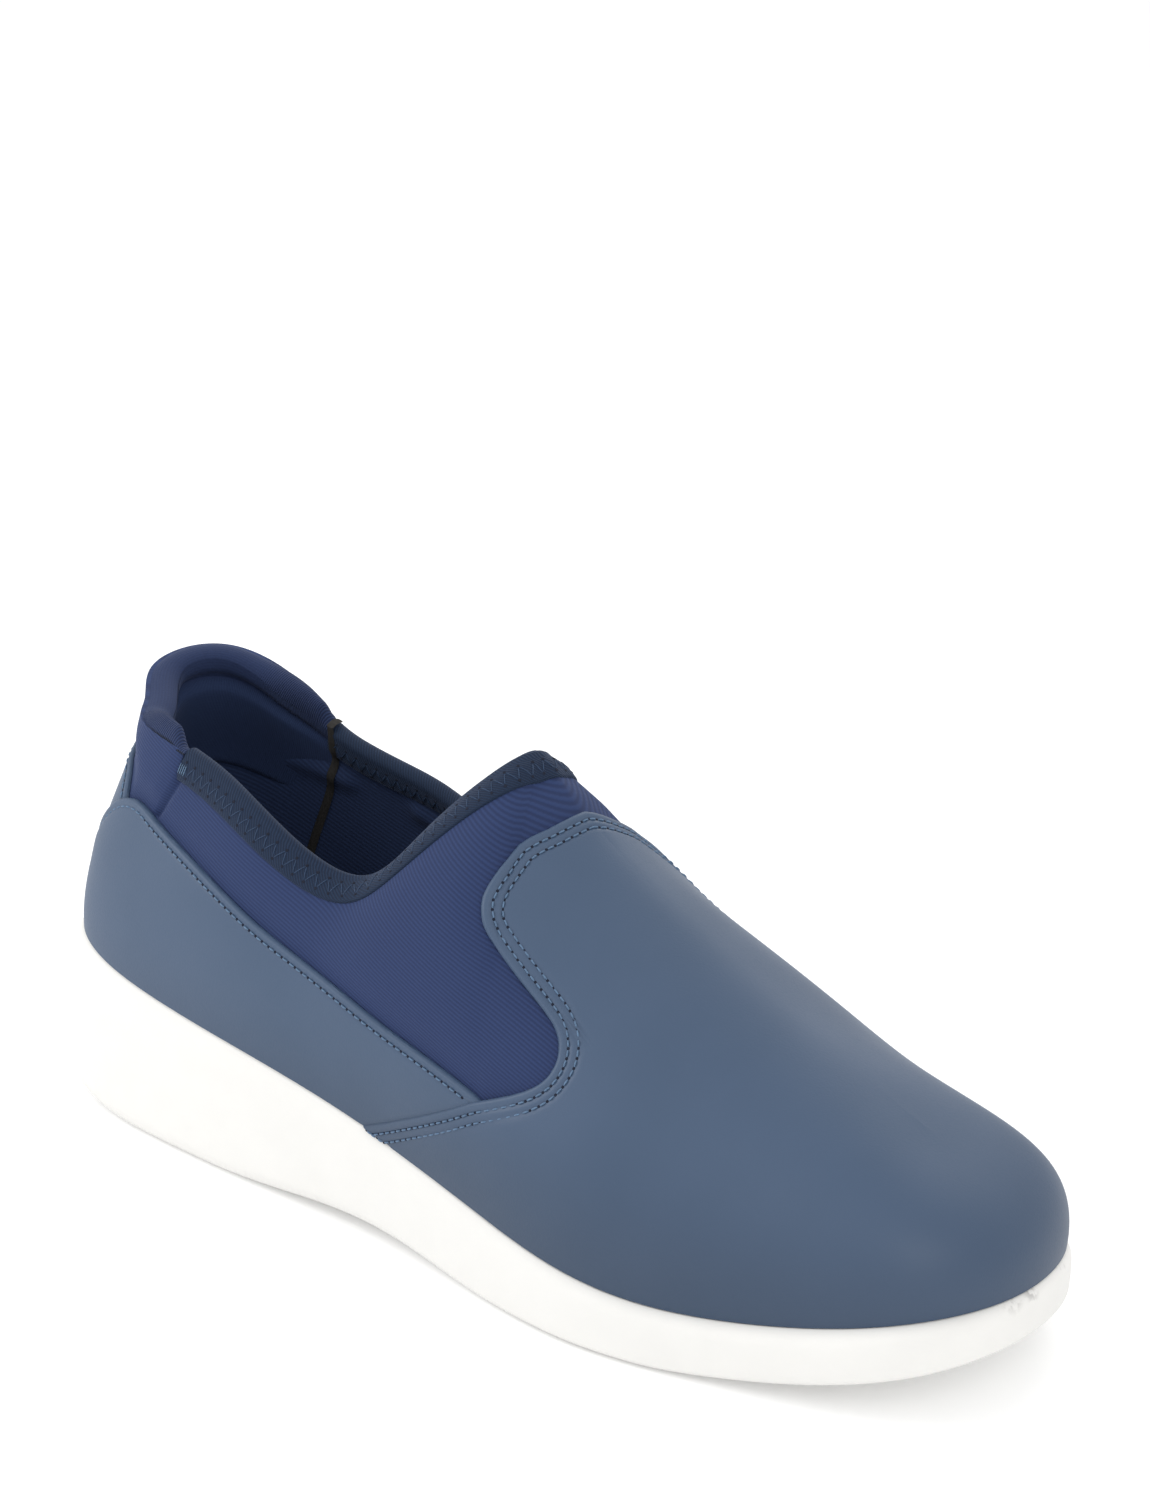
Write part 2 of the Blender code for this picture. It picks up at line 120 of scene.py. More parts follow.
# Opening rows round the collar, outer side first: x of LENGTH, y of BALL_WIDTH, z of TOP_HEIGHT
COLLAR = (
    (0.022, 0.026, 0.940),
    (0.064, -0.126, 0.912),
    (0.107, -0.244, 0.901),
    (0.186, -0.283, 0.872),
    (0.257, -0.306, 0.816),
    (0.327, -0.297, 0.740),
    (0.383, -0.257, 0.740),
    (0.428, -0.169, 0.882),
    (0.471, 0.018, 1.006),
    (0.435, 0.160, 0.839),
    (0.384, 0.236, 0.735),
    (0.328, 0.274, 0.721),
    (0.266, 0.287, 0.757),
    (0.176, 0.268, 0.806),
    (0.110, 0.278, 0.880),
    (0.045, 0.203, 0.954),
)

# Ridge rows from throat to toe: share of the run, x of LENGTH, y of BALL_WIDTH, z of TOP_HEIGHT
RIDGE = (
    (0.00, 0.471, 0.018, 1.006),
    (0.20, 0.553, 0.017, 0.868),
    (0.40, 0.642, 0.014, 0.744),
    (0.60, 0.730, 0.017, 0.633),
    (0.80, 0.814, 0.027, 0.546),
    (1.00, 0.881, 0.034, 0.473),
)

# Footbed rows: x of LENGTH, height of RIM_HEIGHT
FOOTBED = (
    (-0.05, 0.830),
    (0.10, 0.760),
    (0.30, 0.570),
    (0.48, 0.385),
    (0.64, 0.220),
    (0.78, 0.185),
    (0.90, 0.260),
    (1.05, 0.430),
)

# Side rows of the sole from rim to bottom edge: step out, height share, share of the edge round
SIDE = (
    (0.00, 1.000, 0.0),
    (0.42, 0.972, 0.0),
    (0.76, 0.890, 0.0),
    (0.94, 0.750, 0.0),
    (1.00, 0.520, 0.0),
    (1.00, 0.290, 0.0),
    (1.00, 0.120, 0.3),
    (1.00, 0.000, 1.0),
)

# Vamp edge rows from rim to ridge: height share, loop share
VAMP_EDGE = (
    (0.00, 0.231),
    (0.06, 0.241),
    (0.13, 0.254),
    (0.22, 0.273),
    (0.28, 0.284),
    (0.35, 0.295),
    (0.41, 0.303),
    (0.46, 0.3067),
    (0.52, 0.3067),
    (0.556, 0.302),
    (0.58, 0.291),
    (0.605, 0.280),
    (0.64, 0.2742),
    (0.69, 0.2715),
    (0.75, 0.2740),
    (0.82, 0.2798),
    (0.90, 0.288),
    (1.00, 0.297),
)

# Side panel rows from heel centre forward: loop share, height share
QUARTER_TOP = (
    (0.000, 0.300),
    (0.030, 0.315),
    (0.050, 0.360),
    (0.062, 0.460),
    (0.072, 0.600),
    (0.084, 0.692),
    (0.100, 0.688),
    (0.118, 0.677),
    (0.142, 0.671),
    (0.168, 0.646),
    (0.192, 0.598),
    (0.219, 0.489),
    (0.242, 0.376),
    (0.264, 0.300),
    (0.286, 0.262),
    (0.330, 0.225),
)

# Back stay rows from heel centre to its side tip: loop share, height share
STAY_TOP = (
    (0.000, 0.845),
    (0.030, 0.845),
    (0.050, 0.834),
    (0.063, 0.800),
    (0.075, 0.760),
    (0.085, 0.725),
)

# %% Curves through the rows
def row_curve(stations, values, q):
    """Smooth curve through the rows of a table."""
    x = np.asarray(stations, float)
    y = np.asarray(values, float)
    n = len(x)
    h = np.diff(x)
    a = np.eye(n)
    b = np.zeros(n)
    for i in range(1, n - 1):
        a[i, i - 1:i + 2] = (h[i - 1], 2 * (h[i - 1] + h[i]), h[i])
        b[i] = 6 * ((y[i + 1] - y[i]) / h[i] - (y[i] - y[i - 1]) / h[i - 1])
    m = np.linalg.solve(a, b)
    q = np.asarray(q, float)
    i = np.clip(np.searchsorted(x, q) - 1, 0, n - 2)
    s = q - x[i]
    t = x[i + 1] - q
    return ((m[i] * t ** 3 + m[i + 1] * s ** 3) / (6 * h[i])
            + (y[i] / h[i] - m[i] * h[i] / 6) * t
            + (y[i + 1] / h[i] - m[i + 1] * h[i] / 6) * s)


def loop_curve(values, u):
    n = len(values)
    k = np.arange(-6, n + 7)
    return row_curve(k / n, np.asarray(values, float)[k % n], np.asarray(u) % 1.0)


def column(table, index):
    return [row[index] for row in table]


def mirrored(index, u):
    half = column(WALL, index)
    return loop_curve(half + half[-2:0:-1], u)


def ease(x, low, high):
    t = np.clip((np.asarray(x, float) - low) / (high - low), 0, 1)
    return t * t * (3 - 2 * t)


def table_curve(table, at):
    """Second column of a table along its first."""
    return row_curve(column(table, 0), column(table, 1), at)


def unit(vectors):
    length = np.linalg.norm(vectors, axis=-1, keepdims=True)
    return vectors / np.maximum(length, 1e-12)


def run_length(line):
    """Distance travelled up to each point of a line."""
    return np.concatenate([[0], np.cumsum(np.linalg.norm(np.diff(line, axis=0), axis=1))])


# %% [markdown]
# The plan is a closed line round the sole. A share of that line, called u, starts at the
# heel centre and passes the outer side first. A share of height, called v, climbs from the
# rim of the sole to the opening or, further forward, to the ridge over the foot.

# %% Plan, ground and footbed
def plan(u):
    x = loop_curve(column(PLAN, 0), u) * LENGTH
    y = loop_curve(column(PLAN, 1), u) * BALL_WIDTH
    return np.stack([x, y], -1)


def plan_normal(u):
    run = unit(plan(u + SHARE_STEP) - plan(u - SHARE_STEP))
    return np.stack([run[:, 1], -run[:, 0]], -1)


def rim_step(u):
    return loop_curve(column(PLAN, 2), u) * BALL_WIDTH


def rim_height(u):
    return mirrored(0, u) * RIM_HEIGHT


def floor_height(x):
    s = x / LENGTH
    toe = TOE_SPRING * np.clip((s - TOE_LIFT) / (1 - TOE_LIFT), 0, None) ** TOE_BEND
    heel = HEEL_BEVEL * np.clip((HEEL_LIFT - s) / HEEL_LIFT, 0, None) ** HEEL_BEND
    arch = ARCH_RISE * np.sin(np.pi * np.clip((s - ARCH_START) / ARCH_RUN, 0, 1)) ** 2
    return toe + heel + arch


def footbed_height(x):
    return table_curve(FOOTBED, x / LENGTH) * RIM_HEIGHT


print("sole runs", plan(np.array([0.0, 0.5])).round(4).tolist())


# %% The wall of the upper
def from_heel(u):
    """Share of the loop from the heel centre, alike on both sides."""
    return np.minimum(u % 1, 1 - u % 1)


def ridge_share(u):
    m = from_heel(u)
    r = np.clip((m - THROAT) / (0.5 - THROAT), 0, 1)
    return 1 - (1 - r) ** 1.6


def ridge_point(r):
    sizes = (LENGTH, BALL_WIDTH, TOP_HEIGHT)
    return np.stack([row_curve(column(RIDGE, 0), column(RIDGE, i + 1), r) * sizes[i]
                     for i in range(3)], -1)


def top_point(u):
    m = from_heel(u)
    c = np.minimum(m, THROAT) / THROAT * 0.5
    c = np.where(u <= 0.5, c, 1 - c)
    sizes = (LENGTH, BALL_WIDTH, TOP_HEIGHT)
    collar = np.stack([loop_curve(column(COLLAR, i), c) * sizes[i] for i in range(3)], -1)
    return np.where((m < THROAT)[:, None], collar, ridge_point(ridge_share(u)))


def wall(u, v):
    """Outer face of the upper at loop share u and height share v."""
    u = np.asarray(u, float) % 1.0
    v = np.asarray(v, float)[:, None]
    normal = plan_normal(u)
    foot = np.column_stack([plan(u) - normal * (rim_step(u) + SEAM_GAP)[:, None], rim_height(u)])
    top = top_point(u)
    chord = np.linalg.norm(top - foot, axis=1)
    lean = np.radians(mirrored(1, u))
    low = foot + (mirrored(2, u) * chord)[:, None] * np.column_stack(
        [normal * np.sin(lean)[:, None], np.cos(lean)])
    m = from_heel(u)
    turn = ease(m, 0.14, 0.30)[:, None]
    away = unit(normal * (1 - turn) + unit(foot[:, :2] - top[:, :2]) * turn)
    lean = np.radians(mirrored(3, u))
    high = top + (mirrored(4, u) * chord)[:, None] * np.column_stack(
        [away * np.sin(lean)[:, None], -np.cos(lean)])
    r = np.clip(ridge_share(u), SHARE_STEP, 1 - SHARE_STEP)
    rise = ridge_point(r + SHARE_STEP) - ridge_point(r - SHARE_STEP)
    high[:, 2] += turn[:, 0] * rise[:, 2] / rise[:, 0] * (high[:, 0] - top[:, 0])
    w = 1 - v
    skin = foot * w ** 3 + 3 * low * v * w ** 2 + 3 * high * v ** 2 * w + top * v ** 3
    gap = np.linalg.norm(skin - top, axis=1)
    roof = np.tan(np.clip(math.pi / 2 - lean, 0, 0.5)) * ease(m, THROAT, THROAT + 0.03)
    skin[:, 2] -= roof * (np.sqrt(gap ** 2 + CROWN ** 2) - gap)
    return skin


def wall_normal(u, v):
    """Direction out of the wall at loop share u and height share v."""
    step = SHARE_STEP
    v = np.clip(np.asarray(v, float), step, 1 - step)
    du = (wall(u + step, v) - wall(u - step, v)) / (2 * step)
    dv = (wall(u, v + step) - wall(u, v - step)) / (2 * step)
    return unit(np.cross(du, dv))


# %% [markdown]
# The solids stand with the middle of their box over the origin. The last is drawn from the
# heel tip, so one shift carries it there. The shift comes from the box of the sole solid.

# %% Shift from last to frame
outline = plan(np.linspace(0, 1, 2000, endpoint=False))
sole_low, sole_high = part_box("sole")
SHIFT = np.array([
    (sole_low.x + sole_high.x) / 2 - (outline[:, 0].min() + outline[:, 0].max()) / 2,
    (sole_low.y + sole_high.y) / 2 - (outline[:, 1].min() + outline[:, 1].max()) / 2,
    0.0])
print("shift", SHIFT.round(5).tolist())

# %% [markdown]
# Pieces of a shoe are sheets with a thickness. A sheet is a grid of points on the last. The
# helpers join points that meet, find the direction that faces out, and make a closed piece
# between an upper and a lower lift. Plain arrays keep the fine grids quick.

# %% Helpers for grids and meshes
def grid_faces(rows, cols, closed=False):
    r = np.arange(rows - 1)[:, None] * cols
    c = np.arange(cols if closed else cols - 1)[None, :]
    d = (c + 1) % cols
    quads = np.stack([r + c, r + d, r + cols + d, r + cols + c], -1)
    return quads.reshape(-1, 4)


def weld(points, faces):
    """Join points that coincide."""
    keys = np.round(points, 6)
    _, first, index = np.unique(keys, axis=0, return_index=True, return_inverse=True)
    index = index.ravel()
    return points[first], index[faces], index


def facing(points, faces):
    """Smooth outward direction at each point of a mesh of four-sided faces."""
    p = points[faces]
    area = np.cross(p[:, 2] - p[:, 0], p[:, 3] - p[:, 1])
    total = np.zeros_like(points)
    for k in range(4):
        np.add.at(total, faces[:, k], area)
    return unit(total)


def clean_faces(faces):
    rings = []
    for face in faces.tolist():
        ring = [i for k, i in enumerate(face) if i not in face[:k]]
        rings.append(ring if len(ring) > 2 else None)
    return rings


def make(name, points, faces, finishes, slots=None, fields=None, sharp=48):
    """Mesh object with its finishes; fields are numbers kept at each point."""
    rings = clean_faces(np.asarray(faces))
    keep = [i for i, ring in enumerate(rings) if ring]
    mesh = bpy.data.meshes.new(name)
    mesh.from_pydata(points.tolist(), [], [rings[i] for i in keep])
    for finish in finishes:
        mesh.materials.append(finish)
    if slots is not None:
        mesh.polygons.foreach_set("material_index", np.asarray(slots)[keep].astype(np.int32))
    for key, values in (fields or {}).items():
        layer = mesh.attributes.new(key, "FLOAT", "POINT")
        layer.data.foreach_set("value", np.asarray(values, np.float32))
    mesh.shade_smooth()
    mesh.set_sharp_from_angle(angle=math.radians(sharp))
    piece = bpy.data.objects.new(name, mesh)
    bpy.context.scene.collection.objects.link(piece)
    print(name, len(points), "points", len(keep), "faces")
    return piece


def shell(name, points, faces, top, under, finishes, under_slot=0, fields=None):
    """Closed piece between two lifts of one sheet."""
    sheet, faces, index = weld(points, faces)
    n = len(sheet)
    lift = np.zeros((2, n))
    lift[0, index] = np.broadcast_to(top, len(points))
    lift[1, index] = np.broadcast_to(under, len(points))
    out = facing(sheet, faces)
    both = np.vstack([sheet + out * lift[0][:, None], sheet + out * lift[1][:, None]])
    a = faces.ravel()
    b = np.roll(faces, -1, axis=1).ravel()
    real = a != b
    a, b = a[real], b[real]
    rim = ~np.isin(a * n + b, b * n + a)
    a, b = a[rim], b[rim]
    sides = np.column_stack([b, a, a + n, b + n])
    solid = np.vstack([faces, faces[:, ::-1] + n, sides])
    slots = np.concatenate([np.zeros(len(faces)), np.full(len(faces), under_slot),
                            np.zeros(len(sides))])
    kept = {}
    for key, values in (fields or {}).items():
        flat = np.zeros(n)
        flat[index] = np.broadcast_to(values, len(points))
        kept[key] = np.tile(flat, 2)
    return make(name, both + SHIFT, solid, finishes, slots, kept)


# %% [markdown]
# Stitches, bindings and soft edges follow lines at a set distance from an edge. A search
# tree gives each point its distance to such a line. A second tree holds the bare last, so a
# point near the surface can be laid onto it.

# %% Distances and laying onto the last
def resample(line, pitch):
    """Points at an even pitch along a line."""
    run = run_length(line)
    count = max(2, int(round(run[-1] / pitch)) + 1)
    at = np.linspace(0, run[-1], count)
    return np.column_stack([np.interp(at, run, line[:, k]) for k in range(line.shape[1])])


def tree_of(points):
    tree = KDTree(len(points))
    for i, p in enumerate(points):
        tree.insert(p, i)
    tree.balance()
    return tree


def distance_to(points, line):
    tree = tree_of(resample(line, 0.2 * MM))
    return np.array([tree.find(p)[2] for p in points])


BARE_ROWS, BARE_LINES = 140, 720
bare_u, bare_v = np.meshgrid(np.linspace(0, 1, BARE_LINES, endpoint=False),
                             np.linspace(0, 1, BARE_ROWS))
bare = wall(bare_u.ravel(), bare_v.ravel())
bare_faces = grid_faces(BARE_ROWS, BARE_LINES, True)
joined, joined_faces, bare_index = weld(bare, bare_faces)
bare_out = facing(joined, joined_faces)[bare_index]
SKIN = BVHTree.FromPolygons(bare.tolist(), bare_faces.tolist())


def onto(points):
    """Nearest points on the bare last and the outward direction there."""
    spots, outs = [], []
    for p in points:
        spot, _, face, _ = SKIN.find_nearest(p)
        corners = bare_faces[face]
        near = 1 / (np.linalg.norm(bare[corners] - np.array(spot), axis=1) + 1e-5)
        out = (bare_out[corners] * near[:, None]).sum(0)
        spots.append(spot)
        outs.append(out / np.linalg.norm(out))
    return np.array(spots), np.array(outs)


def along(line):
    """Direction of a line at each of its points."""
    return unit(np.gradient(line, axis=0))


def beside(line, gap, side=1.0):
    """Line on the last at a set distance to the left of another, seen from outside."""
    spots, outs = onto(line)
    across = np.cross(outs, along(spots)) * side
    return onto(spots + across * np.reshape(gap, (-1, 1)))[0]


print("bare last", len(bare), "points")


# %% [markdown]
# The edges of the leather are rows of shares in the tables. Each becomes a line in space
# for the outer side, and a second one for the inner side with u counted from the other end.
# The vamp's edge is averaged along its length, which rounds its corners.

# %% Lines of the leather edges
CUT_STEP = 0.5 * MM
CUT_SPAN = (0.22, 0.32)
CUT_ROUND = 15
SHARE_ROUND = 7


def smooth(line, width=CUT_ROUND):
    """Moving average of a line that keeps its ends."""
    half = width // 2
    lead = 2 * line[0] - line[half:0:-1]
    tail = 2 * line[-1] - line[-2:-2 - half:-1]
    longer = np.vstack([lead, line, tail])
    kernel = np.ones(width) / width
    return np.column_stack([np.convolve(c, kernel, "valid") for c in longer.T])


def rounded_cut():
    """Height and loop shares of the vamp's edge, with rounded corners."""
    v = np.linspace(0, 1, 900)
    cut = smooth(resample(wall(table_curve(VAMP_EDGE, v), v), CUT_STEP))
    net_u, net_v = np.meshgrid(np.linspace(*CUT_SPAN, 300), np.linspace(0, 1, 800))
    net_u, net_v = net_u.ravel(), net_v.ravel()
    tree = tree_of(wall(net_u, net_v))
    at = np.array([tree.find(p)[1] for p in cut])
    shares = smooth(np.column_stack([net_v[at], net_u[at]]), SHARE_ROUND)
    return np.maximum.accumulate(shares[:, 0]), shares[:, 1]


CUT_LINE = rounded_cut()


def vamp_edge(v):
    return np.interp(v, *CUT_LINE)


def quarter_top(u):
    return table_curve(QUARTER_TOP, u)


STAY_DIVE = 0.12
STAY_CORNER = 0.066


def stay_top(u):
    u = np.abs(u)
    dive = STAY_DIVE * ease(u, STAY_CORNER, STAY_END)
    return table_curve(STAY_TOP, u) - dive


FINE = np.linspace(0, 1, 600)
VAMP_LINES = [wall(sign * vamp_edge(FINE), FINE) for sign in (1, -1)]
RUN_QUARTER = np.linspace(0.0, QUARTER_END, 600)
QUARTER_LINES = [wall(sign * RUN_QUARTER, quarter_top(RUN_QUARTER)) for sign in (1, -1)]
RUN_STAY = np.linspace(-STAY_END, STAY_END, 400)
STAY_LINE = wall(RUN_STAY, stay_top(RUN_STAY))
print("vamp edge", round(run_length(VAMP_LINES[0])[-1], 4), "m")

# %% [markdown]
# Materials are sums of small patterns. The class below wraps a socket, so that a pattern
# can be written as plain arithmetic. One method adds any other node from its type, its
# settings and its sockets.

# %% A small language for materials
class Wire:
    """Output socket that takes part in arithmetic."""

    def __init__(self, finish, socket):
        self.finish = finish
        self.socket = socket

    def maths(self, operation, first, second):
        return self.finish.node("ShaderNodeMath", {"operation": operation}, {0: first, 1: second})

    def __add__(self, other):
        return self.maths("ADD", self, other)

    def __sub__(self, other):
        return self.maths("SUBTRACT", self, other)

    def __rsub__(self, other):
        return self.maths("SUBTRACT", other, self)

    def __mul__(self, other):
        return self.maths("MULTIPLY", self, other)

    __radd__ = __add__
    __rmul__ = __mul__

    def wave(self, pitch):
        """Even wave from -1 to 1 over a length."""
        return self.maths("SINE", self * (2 * math.pi / pitch), 0.0)

    def soft(self, low, high):
        """Smooth step from 0 at low to 1 at high."""
        settings = {"interpolation_type": "SMOOTHSTEP"}
        return self.finish.node("ShaderNodeMapRange", settings,
                                {"Value": self, "From Min": low, "From Max": high})


class Finish:
    """Material whose nodes are all made by one method."""

    def __init__(self, name, **constants):
        self.material = bpy.data.materials.new(name)
        self.material.use_nodes = True
        self.tree = self.material.node_tree
        self.shader = self.tree.nodes["Principled BSDF"]
        for key, value in constants.items():
            self.shader.inputs[key.replace("_", " ")].default_value = value

    def node(self, kind, settings=None, sockets=None, out=0):
        node = self.tree.nodes.new(kind)
        for key, value in (settings or {}).items():
            setattr(node, key, value)
        for key, value in (sockets or {}).items():
            if isinstance(value, Wire):
                self.tree.links.new(value.socket, node.inputs[key])
            else:
                node.inputs[key].default_value = value
        return Wire(self, node.outputs[out])

    def place(self):
        return self.node("ShaderNodeTexCoord", out="Object")

    def field(self, name):
        return self.node("ShaderNodeAttribute", {"attribute_name": name}, out="Fac")

    def noise(self, size, detail=2.0):
        return self.node("ShaderNodeTexNoise", {},
                         {"Vector": self.place(), "Scale": 1 / size, "Detail": detail})

    def cells(self, size):
        return self.node("ShaderNodeTexVoronoi", {},
                         {"Vector": self.place(), "Scale": 1 / size}, out="Distance")

    def blend(self, share, first, second):
        return self.node("ShaderNodeMix", {"data_type": "RGBA"},
                         {0: share, 6: first, 7: second}, out=2)

    def near(self, spot, reach):
        """1 at a spot of the shoe, fading to 0 at a reach."""
        gap = self.node("ShaderNodeVectorMath", {"operation": "DISTANCE"},
                        {0: self.place(), 1: spot}, out="Value")
        return 1 - gap.soft(0.0, reach)

    def paint(self, colour, roughness=None):
        self.tree.links.new(colour.socket, self.shader.inputs["Base Color"])
        if roughness is not None:
            self.tree.links.new(roughness.socket, self.shader.inputs["Roughness"])

    def emboss(self, height, depth):
        """Height from 0 to 1 becomes a bump of a real depth."""
        bump = self.node("ShaderNodeBump", {},
                         {"Height": height, "Distance": depth, "Strength": 1.0}, out="Normal")
        self.tree.links.new(bump.socket, self.shader.inputs["Normal"])


def tone(red, green, blue):
    return (red, green, blue, 1.0)


print("material helpers ready")

# %% [markdown]
# The leather is smooth and matt with a very fine grain. Its own colour hardly varies. A painted
# shade darkens it by up to a quarter toward the sole, where the low side gets less light. The
# grain is two sizes of cells in a bump of a few hundredths of a millimetre, so it only breaks up
# the gloss.

# %% Leather
# Painted shade: height band and depth of the darkening toward the sole
SHADE_PAINT_BAND = (0.016, 0.052)
PAINTED_SHADE_DEPTH = 0.26


def leather(name, colour, shade):
    f = Finish(name, Roughness=0.50, Specular_IOR_Level=0.42)
    cloud = f.noise(30 * MM, 3.0)
    grain = f.cells(0.55 * MM) * 0.6 + f.noise(0.30 * MM, 2.0) * 0.4
    colour = f.blend(cloud.soft(0.30, 0.75), tone(*colour), tone(*shade))
    # Painted shade: the colour darkens by up to a quarter toward the sole, where less light falls
    low = f.node("ShaderNodeSeparateXYZ", {}, {0: f.place()}, out="Z").soft(*SHADE_PAINT_BAND)
    colour = f.blend(low * PAINTED_SHADE_DEPTH + (1 - PAINTED_SHADE_DEPTH), tone(0.0, 0.0, 0.0), colour)
    f.paint(colour, 0.42 + 0.10 * grain + 0.05 * cloud)
    f.emboss(grain, 0.035 * MM)
    return f.material


NAVY_LEATHER = leather("navy_leather", (0.050, 0.085, 0.150), (0.045, 0.079, 0.141))
print("leather", NAVY_LEATHER.name)

# %% [markdown]
# The bootie is a stretch knit over thin foam. Its ribs run level with the side panel and lie
# three quarters of a millimetre apart. A number kept at each point says how far across the
# ribs it is, so the ribs bend with the cloth. A little sheen gives its satin look.

# %% Stretch knit
def knit(name, colour, shade, rib, loop, depth, rough=0.82, sheen=0.12, strip=False):
    f = Finish(name, Roughness=rough, Specular_IOR_Level=0.30, Sheen_Weight=sheen,
               Sheen_Roughness=0.45)
    f.shader.inputs["Sheen Tint"].default_value = tone(0.45, 0.55, 0.85)
    across = f.field("across")
    fibre = f.noise(0.45 * MM, 2.0)
    height = f.field("ribs") * 0.5 if strip else 0.5
    ridge = across.wave(rib) * height + 0.5
    turn = f.field("length").wave(loop) * 0.5 + 0.5
    weave = ridge * 0.7 + turn * ridge * 0.2 + fibre * 0.3
    cloud = f.noise(22 * MM, 2.0)
    share = weave.soft(0.15, 0.95) * 0.65 + cloud * 0.2 + 0.08
    cloth = f.blend(share, tone(*shade), tone(*colour))
    if strip:
        seam = f.field("length").soft(0.9 * MM, 1.5 * MM)
        cloth = f.blend(seam, tone(0.004, 0.008, 0.022), cloth)
    f.paint(cloth)
    f.emboss(weave, depth)
    return f.material


NAVY_KNIT = knit("navy_stretch_knit", (0.024, 0.045, 0.130), (0.013, 0.024, 0.076),
                 0.75 * MM, 0.9 * MM, 0.07 * MM)
NAVY_BINDING = knit("navy_binding", (0.010, 0.026, 0.062), (0.004, 0.010, 0.028),
                    0.80 * MM, 0.7 * MM, 0.10 * MM)
NAVY_LINING = knit("navy_lining", (0.021, 0.041, 0.108), (0.012, 0.022, 0.062),
                   1.1 * MM, 0.8 * MM, 0.06 * MM, 0.9, 0.05)
RIBBED_STRIP = knit("ribbed_strip", (0.025, 0.045, 0.124), (0.007, 0.013, 0.042),
                    1.15 * MM, 0.8 * MM, 0.25 * MM, 0.85, 0.08, True)
INSOLE_KNIT = knit("dark_insole", (0.021, 0.027, 0.046), (0.013, 0.016, 0.028),
                   1.0 * MM, 1.0 * MM, 0.06 * MM, 0.95, 0.02)
print("knits ready")

# %% [markdown]
# The sole is moulded white foam: matt, faintly warm, with a very soft skin texture. A few
# grey rubs sit on the toe, where the photograph shows them. Each rub is a spot with a ragged
# edge.

# %% Sole foam, thread, holes and tape
RUBS = (
    (0.1288, -0.0033, 0.0236, 4.0),
    (0.1295, 0.0031, 0.0234, 3.5),
    (0.1264, 0.0189, 0.0228, 3.5),
)


def foam():
    f = Finish("white_sole_foam", Roughness=0.55, Specular_IOR_Level=0.35)
    mottle = f.noise(9 * MM, 4.0)
    skin = f.noise(0.8 * MM, 3.0)
    colour = f.blend(mottle.soft(0.25, 0.8), tone(0.785, 0.777, 0.753), tone(0.768, 0.760, 0.736))
    ragged = f.noise(1.6 * MM, 4.0).soft(0.44, 0.62)
    for x, y, z, reach in RUBS:
        share = f.near((x, y, z), reach * MM) * ragged * 0.8
        colour = f.blend(share, colour, tone(0.42, 0.41, 0.40))
    f.paint(colour, 0.50 + 0.10 * skin)
    f.emboss(skin, 0.03 * MM)
    return f.material


def plain(name, colour, size, rough):
    f = Finish(name, Roughness=rough, Specular_IOR_Level=0.3)
    grain = f.noise(size, 2.0)
    darker = tuple(part * 0.7 for part in colour)
    f.paint(f.blend(grain.soft(0.3, 0.7), tone(*colour), tone(*darker)))
    f.emboss(grain, 0.04 * MM)
    return f.material


WHITE_FOAM = foam()
THREAD = plain("blue_thread", (0.120, 0.200, 0.320), 0.35 * MM, 0.55)
BINDING_THREAD = plain("binding_thread", (0.030, 0.058, 0.120), 0.35 * MM, 0.6)
# Painted shade: dark discs at the stitch holes stand for the shade inside each hole
HOLE_SHADE = plain("stitch_hole_painted_shade", (0.010, 0.014, 0.030), 0.5 * MM, 0.9)
TAPE = plain("brown_seam_tape", (0.030, 0.028, 0.026), 0.6 * MM, 0.9)
print("foam, thread and tape ready")

# %% [markdown]
# The sole is one moulded piece. Its side runs from a thin rim, out over a soft shoulder, down
# a steep wall and under a rounded edge. The rows of the side table are joined by a smooth
# curve. Under the ball and the heel it carries shallow grooves that follow the edge, a plain
# guess, since the photograph doesn't show the tread.

# %% Sole
SOLE_LINES = 460
SOLE_ROWS = 44
MIDDLE_PULL = 0.80
GROOVES = np.array([0.25, 0.45, 0.65, 0.85])
GROOVE_WIDTH = 0.035
GROOVE_DEPTH = 1.2 * MM


def even_round(count, turn=0.020):
    """Loop shares with more lines where heel and toe turn."""
    t = np.arange(count) / count
    return t - turn * np.sin(4 * np.pi * t)


def groove(x, inward):
    """Depth of the tread grooves, which follow the edge, with none under the arch."""
    cut = np.exp(-((inward - GROOVES) / GROOVE_WIDTH) ** 2).sum()
    s = x / LENGTH
    heel = ease(s, 0.05, 0.08) * (1 - ease(s, 0.24, 0.30))
    ball = ease(s, 0.50, 0.56) * (1 - ease(s, 0.90, 0.94))
    return GROOVE_DEPTH * cut * np.maximum(heel, ball)


def middle_line(edge, pull):
    other = edge[(-np.arange(len(edge))) % len(edge)]
    mid = (edge + other) / 2
    mid[:, 0] = LENGTH * 0.5 + (mid[:, 0] - LENGTH * 0.5) * pull
    return mid


def fan(edge, pull, shares, height):
    """Rows from an edge loop to the middle line, at a height that depends on the place."""
    mid = middle_line(edge, pull)
    rows = []
    for s in shares:
        flat = edge[:, :2] * (1 - s) + mid[:, :2] * s
        rows.append(np.column_stack([flat, height(flat, s)]))
    return rows


